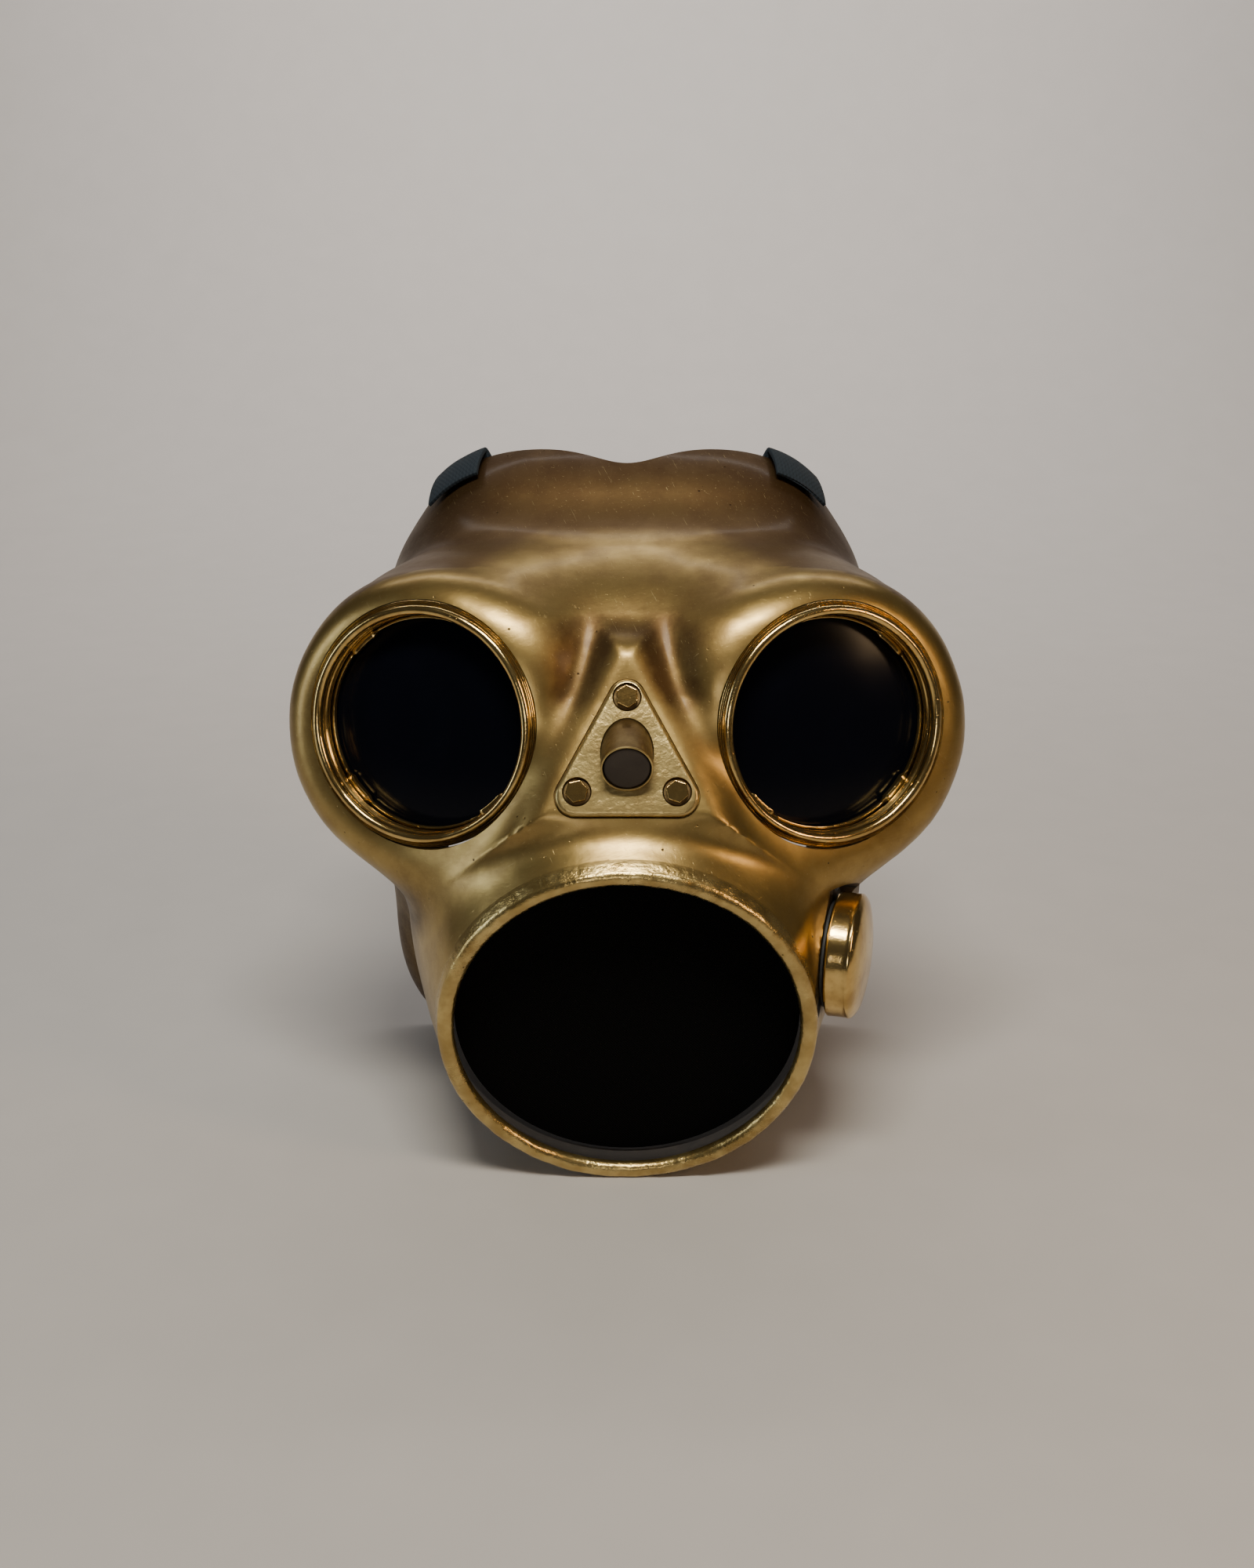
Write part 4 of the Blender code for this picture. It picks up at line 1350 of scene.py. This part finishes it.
# ---------------------------------------------------------------- nose plate
@dataclass
class NosePlate:
    """Three-cornered cast plate with its tube, plug, three bolts, washers and nuts."""

    finishes: Finishes
    seat = -0.0008
    top = 0.0030
    corners = ((0, 0.0174, 0.0060), (0.0172, -0.0164, 0.0070), (-0.0172, -0.0164, 0.0070))
    bolts = {"top": (0, 0.0172), "left": (-0.0168, -0.0150), "right": (0.0168, -0.0150)}
    bolt_seat = 0.0018
    nut_seat = -0.0026
    tube_dip = 13.0
    tube_radius = 0.00875
    tube_length = 0.0104
    tube_rise = -0.0018

    @staticmethod
    def place() -> Matrix:
        """Placement of the plate, whose Z axis looks out of it."""
        return placement(FORM.plate_centre, direction(0, FORM.plate_lift))

    @classmethod
    def outline(cls, inset: float, height: float, steps: int) -> Array:
        """Ring of points around the plate's three rounded corners.

        Args:
            inset: How far inside the plate's edge.
            height: Height of the ring.
            steps: How many points.

        Returns:
            The points, in order.
        """
        arcs = []
        order = (cls.corners[1], cls.corners[0], cls.corners[2])
        for index, (x, y, radius) in enumerate(order):
            before, after = order[index - 1], order[(index + 1) % 3]
            start = cls.side_angle(before, (x, y, radius))
            end = cls.side_angle((x, y, radius), after)
            end += math.tau if end < start else 0
            for angle in np.linspace(start, end, 24):
                arcs.append((x + (radius - inset) * math.cos(angle), y + (radius - inset) * math.sin(angle)))
        loop = np.array(arcs + arcs[:1])
        run = np.concatenate([[0], np.cumsum(np.linalg.norm(np.diff(loop, axis=0), axis=1))])
        at = np.linspace(0, run[-1], steps, endpoint=False)
        x, y = np.interp(at, run, loop[:, 0]), np.interp(at, run, loop[:, 1])
        return np.stack([x, y, np.full(steps, height)], -1)

    @staticmethod
    def side_angle(a: Sequence[float], b: Sequence[float]) -> float:
        """Angle of the outward normal of the side that touches two corner circles, a then b."""
        run = math.hypot(b[0] - a[0], b[1] - a[1])
        along = math.atan2(b[1] - a[1], b[0] - a[0])
        return along - math.pi / 2 + math.asin((b[2] - a[2]) / run)

    def build(self) -> list[Object]:
        """Build and dress the plate and what it carries.

        Returns:
            Its pieces.
        """
        place = self.place()
        return [self.plate(place), *self.tube(place), *self.fasteners(place)]

    def plate(self, place: Matrix) -> Object:
        """The plate with its three bolt recesses and the hole for the tube."""
        low, high = self.seat + GAP, self.top
        layers = ((0.0003, low), (0, low + 0.0003), (0, high - 0.0014), (0.00012, high - 0.0009))
        layers += ((0.0004, high - 0.00045), (0.0009, high - 0.00012), (0.0016, high))
        layers += ((0.0024, high), (0.0040, high + 0.00003))
        plate = outline_solid("cast_nose_plate", 0.0, layers, Matrix.Identity(4))
        for x, y in self.bolts.values():
            recess = ((0, -0.010), (0.0022, -0.010), (0.0022, self.bolt_seat), (0.0045, self.bolt_seat))
            recess += ((0.0047, self.bolt_seat + 0.0002), (0.0048, high - 0.0003))
            recess += ((0.0052, high + 0.0004), (0, high + 0.0004))
            cut(plate, turned("cutter_recess", recess, Matrix.Translation((x, y, 0)), 64))
        tube_place = self.tube_seat()
        bore = ((0, -0.020), (self.tube_radius + GAP, -0.020), (self.tube_radius + GAP, 0.020), (0, 0.020))
        plate.data.transform(place)
        cut(plate, turned("cutter_tube", bore, tube_place, 96))
        self.shade_plate(plate, place)
        mark_hollows(plate, 1.6, 2)
        smooth(plate, 38)
        settle(plate, self.finishes.cast, "cast_brass", "shell", "nose_plate")
        return plate

    def shade_plate(self, plate: Object, place: Matrix) -> None:
        """Store painted shade around the tube's root and in the bolt recesses as a mark for the material."""
        local = np.array([place.inverted() @ v.co for v in plate.data.vertices])
        from_tube = np.hypot(local[:, 0], (local[:, 1] + 0.0030) / 1.25)
        # Painted shadow around the tube's root, darker still in the bolt recesses.
        shade = np.clip((0.0112 - from_tube) / 0.0018, 0, 1) * 0.6
        for x, y in self.bolts.values():
            near = np.hypot(local[:, 0] - x, local[:, 1] - y) < 0.00485
            shade = np.where(near & (local[:, 2] < self.top - 0.0002), 0.95, shade)
        set_attribute(plate, "shade", shade)

    def tube_seat(self) -> Matrix:
        """Placement of the tube, whose root is on the plate's face."""
        root = self.place() @ Vector((0, self.tube_rise, self.top)) - Vector((0, FORWARD, 0))
        return placement(root, direction(0, -self.tube_dip))

    def tube(self, place: Matrix) -> list[Object]:
        """Short tube that looks slightly down, and the dark plug in its end, whose darkness is painted shade.
        """
        tube_place = self.tube_seat()
        r, end = self.tube_radius, self.tube_length
        profile = [(0, 0.0030), (0.0080, 0.0030), (0.0081, end - 0.0003), (0.0082, end), (r - 0.0003, end)]
        profile += [(r - 0.00006, end - 0.00015), (r, end - 0.0005), (r, 0.0), (r, -0.014), (0, -0.014)]
        tube = turned("nose_tube_wall", profile, tube_place, 112)
        floor = place @ Vector((0, 0, self.seat + GAP))
        normal = place.to_3x3() @ Vector((0, 0, 1))
        with editing(tube):
            bpy.ops.mesh.bisect(plane_co=floor, plane_no=normal, clear_inner=True, use_fill=True)
        close_up(tube)
        local = np.array([(tube_place.inverted() @ v.co).z for v in tube.data.vertices])
        # Browned side of the tube, stored in the same mark as the plate's painted shade.
        set_attribute(tube, "shade", np.clip((end - 0.0001 - local) / 0.0003, 0, 1) * 0.95)
        mark_hollows(tube, 0.6, 1)
        smooth(tube)
        settle(tube, self.finishes.cast, "cast_brass", "shell", "nose_tube")
        # Dark plug in the tube's end: its darkness is painted shade.
        face = [(0, end - 0.00030), (0.0070, end - 0.00030), (0.0075, end - 0.00038), (0.0077, end - 0.0007)]
        plug = turned("nose_tube_stopper", face + [(0.0077, 0.0034), (0, 0.0034)], tube_place, 96)
        smooth(plug, 50)
        settle(plug, self.finishes.plug, "dark_plug", "shell", "nose_tube_plug")
        return [tube, plug]

    def fasteners(self, place: Matrix) -> list[Object]:
        """Three hexagon bolts, each with a washer and a nut inside the shell."""
        made = []
        low = self.bolt_seat + GAP
        for turn, (word, (x, y)) in zip((4, -17, 11), self.bolts.items()):
            spot = place @ Matrix.Translation((x, y, 0)) @ Matrix.Rotation(math.radians(turn), 4, "Z")
            bolt = hexagon(f"hex_bolt_{word}", 0.00345, low, low + 0.0026, spot, 0.00028)
            end = self.nut_seat - 0.0052
            stem = ((0, end), (0.0018, end), (0.0020, end + 0.0004), (0.0020, low), (0, low))
            shank = turned("shank", stem, spot, 32)
            focus(bolt)
            shank.select_set(True)
            bpy.ops.object.join()
            ripple(bolt, 0.00005, 0.0022, turn * 0.7)
            mark_hollows(bolt, 1.2, 1)
            smooth(bolt, 12)
            settle(bolt, self.finishes.brass, "bright_brass", "shell", f"nose_bolt_{word}")
            face = self.nut_seat - GAP
            ring = ((0.0023, face), (0.0045, face), (0.0045, face - 0.0008), (0.0023, face - 0.0008))
            washer = turned(f"flat_washer_{word}", ring, spot, 48)
            soften(washer, 0.00015)
            smooth(washer)
            settle(washer, self.finishes.steel, "zinc_steel", "shell", f"nose_washer_{word}")
            face -= 0.0008 + GAP
            nut = drilled_nut(f"hex_nut_{word}", 0.0035, 0.0023, face - 0.0030, face, spot)
            settle(nut, self.finishes.steel, "zinc_steel", "shell", f"nose_nut_{word}")
            made += [bolt, washer, nut]
        return made


def drilled_nut(
    name: str, flats: float, bore: float, low: float, high: float, place: Matrix
) -> Object:
    """Hexagon nut with a countersunk hole.

    Args:
        name: Name of the piece.
        flats: Half its width across flats.
        bore: Radius of its hole.
        low: Height of its underside.
        high: Height of its top.
        place: Where it goes.

    Returns:
        The piece.
    """
    nut = hexagon(name, flats, low, high, place, flats * 0.09)
    sink = bore * 1.12
    hole = ((0, low - 0.001), (sink, low - 0.0001), (bore, low + 0.0004))
    hole += ((bore, high - 0.0004), (sink, high + 0.0001), (0, high + 0.001))
    cut(nut, turned("cutter_nut", hole, place, 48))
    smooth(nut, 12)
    return nut


# ---------------------------------------------------------------- cheek port
@dataclass
class CheekPort:
    """Spigot through the right cheek, its gasket and nut, and the domed cap that turns on it."""

    finishes: Finishes
    cap_radius: float = 0.0225

    def build(self) -> list[Object]:
        """Build and dress the port.

        Returns:
            Its pieces.
        """
        place = placement(FORM.port_centre, direction(FORM.port_yaw, 0))
        low = 0.0001 + GAP
        spigot = [(0.0068, -0.0110), (0.0098, -0.0110), (0.0098, low), (0.0118, low), (0.0118, 0.0016)]
        spigot += [(0.0098, 0.0016), (0.0098, 0.0080), (0.0092, 0.0086), (0.0068, 0.0086)]
        pieces = [
            self.ring("spigot_tube", spigot, place, self.finishes.steel, "zinc_steel", "port_spigot"),
            self.ring(
                "spigot_seal",
                [(0.0122, low), (0.0196, low), (0.0196, 0.0014), (0.0122, 0.0014)],
                place,
                self.finishes.rubber,
                "black_rubber",
                "port_gasket",
            ),
        ]
        seat = NosePlate.nut_seat
        nut = drilled_nut("spigot_nut", 0.0140, 0.0101, seat - 0.0048, seat - GAP, place)
        settle(nut, self.finishes.steel, "zinc_steel", "shell", "port_nut")
        cap = turned("domed_port_cap", self.cap_profile(), place, 192)
        ripple(cap, 0.00008, 0.007, 5.0)
        mark_hollows(cap, 1.8, 2)
        smooth(cap, 40)
        settle(cap, self.finishes.brass, "bright_brass", "cap", "port_cap")
        return [*pieces, nut, cap]

    @staticmethod
    def ring(
        name: str, profile: Profile, place: Matrix, finish: Material, slot: str, node: str
    ) -> Object:
        """Turned ring with softened edges that rides on the shell."""
        piece = turned(name, profile, place, 96)
        soften(piece, 0.0002)
        smooth(piece)
        settle(piece, finish, slot, "shell", node)
        return piece

    def cap_profile(self) -> list[tuple[float, float]]:
        """Loop of the cap: hollow for the spigot, rolled rim, straight band and shallow dome."""
        r = self.cap_radius
        profile = [(0, 0.0092), (0.0102, 0.0092), (0.0102, 0.0020), (r - 0.0010, 0.0020)]
        for turn in np.linspace(-math.pi / 2, 0, 6):
            profile.append((r - 0.0008 + 0.0008 * math.cos(turn), 0.0030 + 0.0008 * math.sin(turn)))
        profile += [(r - 0.00015, 0.0040), (r - 0.00015, 0.0085)]
        for turn in np.linspace(-0.6, 0.9, 6):
            profile.append((r - 0.0010 + 0.0010 * math.cos(turn), 0.0100 + 0.0012 * math.sin(turn)))
        for turn in np.linspace(0.22, math.pi / 2, 14):
            profile.append(((r - 0.0006) * math.cos(turn), 0.0106 + 0.0044 * math.sin(turn)))
        return profile


# ---------------------------------------------------------------- mouth screen
@dataclass
class MouthScreen:
    """Black mesh stretched behind the lip and the ring that clamps it; their near-black also paints the shade
    inside the mouth.
    """

    finishes: Finishes
    depth: float = -0.0090
    radius: float = 0.0614

    def build(self) -> list[Object]:
        """Build and dress the screen and its ring.

        Returns:
            The two pieces.
        """
        place = placement(FORM.mouth_centre, FORM.mouth_axes()[1])
        focus_nothing()
        bpy.ops.mesh.primitive_grid_add(x_subdivisions=64, y_subdivisions=64, size=2)
        screen = added("stretched_mesh_screen")
        p = coordinates(screen)
        x, y = p[:, 0], p[:, 1]
        disc = np.stack([x * np.sqrt(1 - y * y / 2), y * np.sqrt(1 - x * x / 2)], -1) * self.radius
        reach = np.linalg.norm(disc, axis=1) / self.radius
        sag = self.depth - 0.0005 - 0.0016 * (1 - reach**2)
        move_to(screen, np.column_stack([disc, sag]))
        modify(screen, "SOLIDIFY", thickness=0.0005, offset=0)
        screen.data.transform(place)
        smooth(screen, 60)
        settle(screen, self.finishes.mesh, "black_mesh", "shell", "mouth_screen")
        d = self.depth
        section = ((0.0580, d - 0.0036), (0.0616, d - 0.0036), (0.0616, d - 0.0012), (0.0580, d - 0.0016))
        clamp = turned("screen_clamp_ring", section, place, 160)
        soften(clamp, 0.0003)
        smooth(clamp)
        settle(clamp, self.finishes.plastic, "black_plastic", "shell", "screen_ring")
        return [screen, clamp]


# ---------------------------------------------------------------- pads
@dataclass
class HeadPads:
    """Cloth-covered foam pads against the inside of the shell."""

    finishes: Finishes
    voxel: float = 0.0026
    shrink: float = 0.0009
    swell: float = 0.0016
    nodes: tuple[str, ...] = ("forehead_pad", "cheek_pad_left", "cheek_pad_right")

    def build(self) -> list[Object]:
        """Build and dress the pads.

        Returns:
            The pads.
        """
        pads = []
        for node in self.nodes:
            pad = self.blank(node)
            self.puff(pad)
            modify(pad, "SUBSURF", levels=1, render_levels=1)
            smooth(pad, 80)
            settle(pad, self.finishes.foam, "black_foam", "shell", node)
            pads.append(pad)
        return pads

    def blank(self, node: str) -> Object:
        """Slightly smaller copy of the CAD pad, merged and remeshed."""
        source = frame["nodes"][node]
        pad = source.copy()
        pad.data = source.data.copy()
        for key in list(pad.keys()):
            del pad[key]
        pad.name = pad.data.name = f"soft_{node}"
        pad.data.materials.clear()
        bpy.context.scene.collection.objects.link(pad)
        pad.parent = None
        with editing(pad):
            bpy.ops.mesh.remove_doubles(threshold=1e-5)
        close_up(pad)
        places = [v.co - v.normal * self.shrink for v in pad.data.vertices]
        move_to(pad, np.array(places))
        modify(pad, "REMESH", mode="VOXEL", voxel_size=self.voxel)
        modify(pad, "SMOOTH", factor=0.5, iterations=4)
        return pad

    def puff(self, pad: Object) -> None:
        """Swell the pad with a short cloth simulation, within a cap."""
        rest = coordinates(pad)
        cloth = pad.modifiers.new("cloth", "CLOTH")
        cloth.settings.use_pressure = True
        cloth.settings.uniform_pressure_force = 4
        cloth.settings.effector_weights.gravity = 0
        cloth.settings.quality = 4
        scene = bpy.context.scene
        for step in range(1, 15):
            scene.frame_set(step)
        focus(pad)
        bpy.ops.object.modifier_apply(modifier=cloth.name)
        scene.frame_set(1)
        move = coordinates(pad) - rest
        size = np.linalg.norm(move, axis=1)[:, None]
        move_to(pad, rest + move * np.minimum(1, self.swell / np.maximum(size, 1e-9)))


# ---------------------------------------------------------------- straps
@dataclass
class HeadStraps:
    """Webbing folds over the top edge, the band behind the head and its keeper."""

    finishes: Finishes
    width: float = 0.0250
    thickness: float = 0.0014
    fold_angle: float = 37.5
    route: tuple[Point, ...] = (
        (-0.0590, 0.1290, 0.2215),
        (-0.0640, 0.1480, 0.2150),
        (-0.0620, 0.1680, 0.2020),
        (-0.0480, 0.1835, 0.1895),
        (-0.0290, 0.1890, 0.1850),
        (-0.0140, 0.1890, 0.1850),
        (0.0, 0.1890, 0.1850),
    )

    def build(self) -> list[Object]:
        """Build and dress the straps.

        Returns:
            Its pieces.
        """
        pieces = [self.fold(side) for side in Side]
        band = self.band()
        return [*pieces, band, self.keeper()]

    def fold(self, side: Side) -> Object:
        """Webbing folded over the top edge: a short flap outside and a longer one inside."""
        half = self.width / 2 / 0.128
        angles = side.value * math.radians(self.fold_angle) + np.linspace(-half, half, 13)
        start = FORM.mouth_ring(angles, FORM.lip_radius, 0)
        rays = FORM.rays(angles, 9, start, 0.935, 1.0)
        middle = 0.0010 + 0.0008
        outer = FORM.cast(rays, -middle)
        inner = FORM.cast(rays, FORM.wall + middle + 0.0010)
        ahead = outer[-1] - outer[-4]
        ahead /= np.linalg.norm(ahead, axis=1)[:, None]
        centre = (outer[-1] + inner[-1]) / 2
        spoke = (outer[-1] - inner[-1]) / 2
        turn = np.linspace(0, math.pi, 9)[1:-1, None, None]
        bend = centre + spoke * np.cos(turn) + ahead * np.sin(turn) * 0.0021
        path = np.concatenate([outer, bend, inner[::-1]]) + [0, FORWARD, 0]
        piece = woven_strip(f"webbing_fold_{side.word}", path, self.thickness)
        ripple(piece, 0.0004, 0.011, 2.0 * side.value)
        settle(piece, self.finishes.webbing, "navy_webbing", "shell", f"strap_fold_{side.word}")
        return piece

    def band(self) -> Object:
        """Elastic band that loops behind the head."""
        half = list(self.route)
        knots = half + [(-x, y, z) for x, y, z in half[-2::-1]]
        line = smooth_route(knots, 97)
        along = np.gradient(line, axis=0)
        along /= np.linalg.norm(along, axis=1)[:, None]
        lean = np.array([0.0, 0.25, 1.0])
        across = lean - along * (along @ lean)[:, None]
        across /= np.linalg.norm(across, axis=1)[:, None]
        share = np.linspace(-0.5, 0.5, 9)
        points = line[:, None] + across[:, None] * share[None, :, None] * self.width
        piece = woven_strip("elastic_head_band", points + [0, FORWARD, 0], self.thickness)
        settle(piece, self.finishes.long_webbing, "navy_webbing", "shell", "head_strap")
        return piece

    def keeper(self) -> Object:
        """Bent steel frame that slides on the band."""
        place = placement(self.route[-1], (1, 0, 0), (0, 0.25, 1))
        focus_nothing()
        bpy.ops.mesh.primitive_cube_add(size=1)
        frame_piece = added("steel_strap_keeper")
        frame_piece.data.transform(Matrix.Diagonal((0.0068, 0.0296, 0.012, 1)))
        soften(frame_piece, 0.0012, 4)
        bpy.ops.mesh.primitive_cube_add(size=1)
        slot_cutter = added("cutter_keeper")
        slot_cutter.data.transform(Matrix.Diagonal((0.0028, 0.0260, 0.030, 1)))
        cut(frame_piece, slot_cutter)
        frame_piece.data.transform(place)
        smooth(frame_piece, 35)
        settle(frame_piece, self.finishes.steel, "zinc_steel", "keeper", "strap_keeper")
        return frame_piece


def smooth_route(points: Sequence[Point], count: int) -> Array:
    """Catmull-Rom curve through the points.

    Args:
        points: Points to pass through.
        count: How many stations to read.

    Returns:
        The stations.
    """
    knots = [np.array(p, float) for p in points]
    knots = [2 * knots[0] - knots[1], *knots, 2 * knots[-1] - knots[-2]]
    route = []
    for u in np.linspace(0, len(points) - 1, count):
        k = min(int(u), len(points) - 2)
        t = u - k
        a, b, c, d = knots[k : k + 4]
        curve = 2 * b + (c - a) * t + (2 * a - 5 * b + 4 * c - d) * t**2 + (3 * b - a - 3 * c + d) * t**3
        route.append(0.5 * curve)
    return np.array(route)


# ---------------------------------------------------------------- studio
@dataclass
class Studio:
    """Pale floor and sweep, soft lights and the camera."""

    floor: Colour = (0.44, 0.415, 0.39)
    world: Colour = (0.020, 0.020, 0.022)

    def build(self) -> None:
        """Set the stage."""
        self.sweep()
        self.camera()
        brow = (0, -0.04, 0.18)
        self.light("key_overhead", (0.0, -0.50, 0.98), brow, (0.46, 0.16), 11.0, (1.0, 0.96, 0.86))
        self.light("front_low", (-0.10, -1.30, 0.40), (0, 0, 0.10), (0.4, 0.2), 1.3, (1.0, 0.96, 0.92))
        self.light("cool_left", (-1.05, -0.25, 0.35), (-0.05, 0, 0.12), (0.25, 0.6), 2.2, (0.78, 0.89, 1.0))
        self.light("warm_right", (0.85, -0.55, 0.55), (0.05, 0, 0.15), (0.16, 0.40), 3.0, (1.0, 0.66, 0.36))
        self.light("wall_wash", (0, 0.75, 1.25), (0, 1.6, 0.35), (1.8, 0.4), 29.0, (1.0, 0.96, 0.93))
        world = bpy.data.worlds.new("studio_world")
        world.use_nodes = True
        world.node_tree.nodes["Background"].inputs["Color"].default_value = (*self.world, 1)
        bpy.context.scene.world = world

    def sweep(self) -> None:
        """Floor that curves up into a backdrop."""
        rows = [(-1.9, 0.0), (0.9, 0.0)]
        bend = np.linspace(0.1, math.pi / 2, 14)
        rows += [(0.9 + 0.7 * math.sin(t), 0.7 - 0.7 * math.cos(t)) for t in bend]
        rows += [(1.6, 0.95)]
        focus_nothing()
        bpy.ops.mesh.primitive_grid_add(x_subdivisions=2, y_subdivisions=len(rows) - 1, size=1)
        sweep = added("studio_sweep")
        points = [(x, y, z) for y, z in rows for x in (-2.6, 0, 2.6)]
        move_to(sweep, np.array(points))
        smooth(sweep, 60)
        b = Bench("studio_paper")
        grain = b.noise(35, 3, 0.5)
        tint = tuple(c * 0.93 for c in self.floor)
        sweep.data.materials.append(b.finish(Base_Color=b.mix(self.floor, tint, grain), Roughness=0.72))

    @staticmethod
    def light(
        name: str, at: Point, towards: Point, size: Size, watts: float, tint: Colour
    ) -> None:
        """Rectangular area light.

        Args:
            name: Name of the light.
            at: Where it hangs.
            towards: What it looks at.
            size: Its width and height.
            watts: Its power.
            tint: Its colour.
        """
        lamp = bpy.data.lights.new(name, "AREA")
        lamp.shape = "RECTANGLE"
        lamp.size, lamp.size_y = size
        lamp.energy, lamp.color = watts, tint
        held = bpy.data.objects.new(name, lamp)
        bpy.context.scene.collection.objects.link(held)
        held.location = at
        held.rotation_euler = (Vector(towards) - Vector(at)).to_track_quat("-Z", "Y").to_euler()

    @staticmethod
    def camera() -> None:
        """Camera in front of the mask, 20 degrees above it."""
        lens = bpy.data.cameras.new("front_camera")
        lens.lens, lens.sensor_width, lens.sensor_fit = 37.35, 36, "AUTO"
        lens.clip_start = 0.01
        camera = bpy.data.objects.new("front_camera", lens)
        bpy.context.scene.collection.objects.link(camera)
        camera.location = (0, -0.6031, 0.3418)
        camera.rotation_euler = (math.radians(70), 0, 0)
        bpy.context.scene.camera = camera


def main() -> None:
    """Build the mask, piece by piece, and set the stage."""
    logging.basicConfig(level=logging.INFO, format="%(name)s: %(message)s")
    finishes = Finishes()
    builders = [
        MaskShell(finishes),
        EyeAssembly(finishes, Side.LEFT),
        EyeAssembly(finishes, Side.RIGHT),
        NosePlate(finishes),
        CheekPort(finishes),
        MouthScreen(finishes),
        HeadPads(finishes),
        HeadStraps(finishes),
        Studio(),
    ]
    for builder in builders:
        builder.build()
        LOG.info("%s done", type(builder).__name__)


if __name__ == "__main__":
    main()
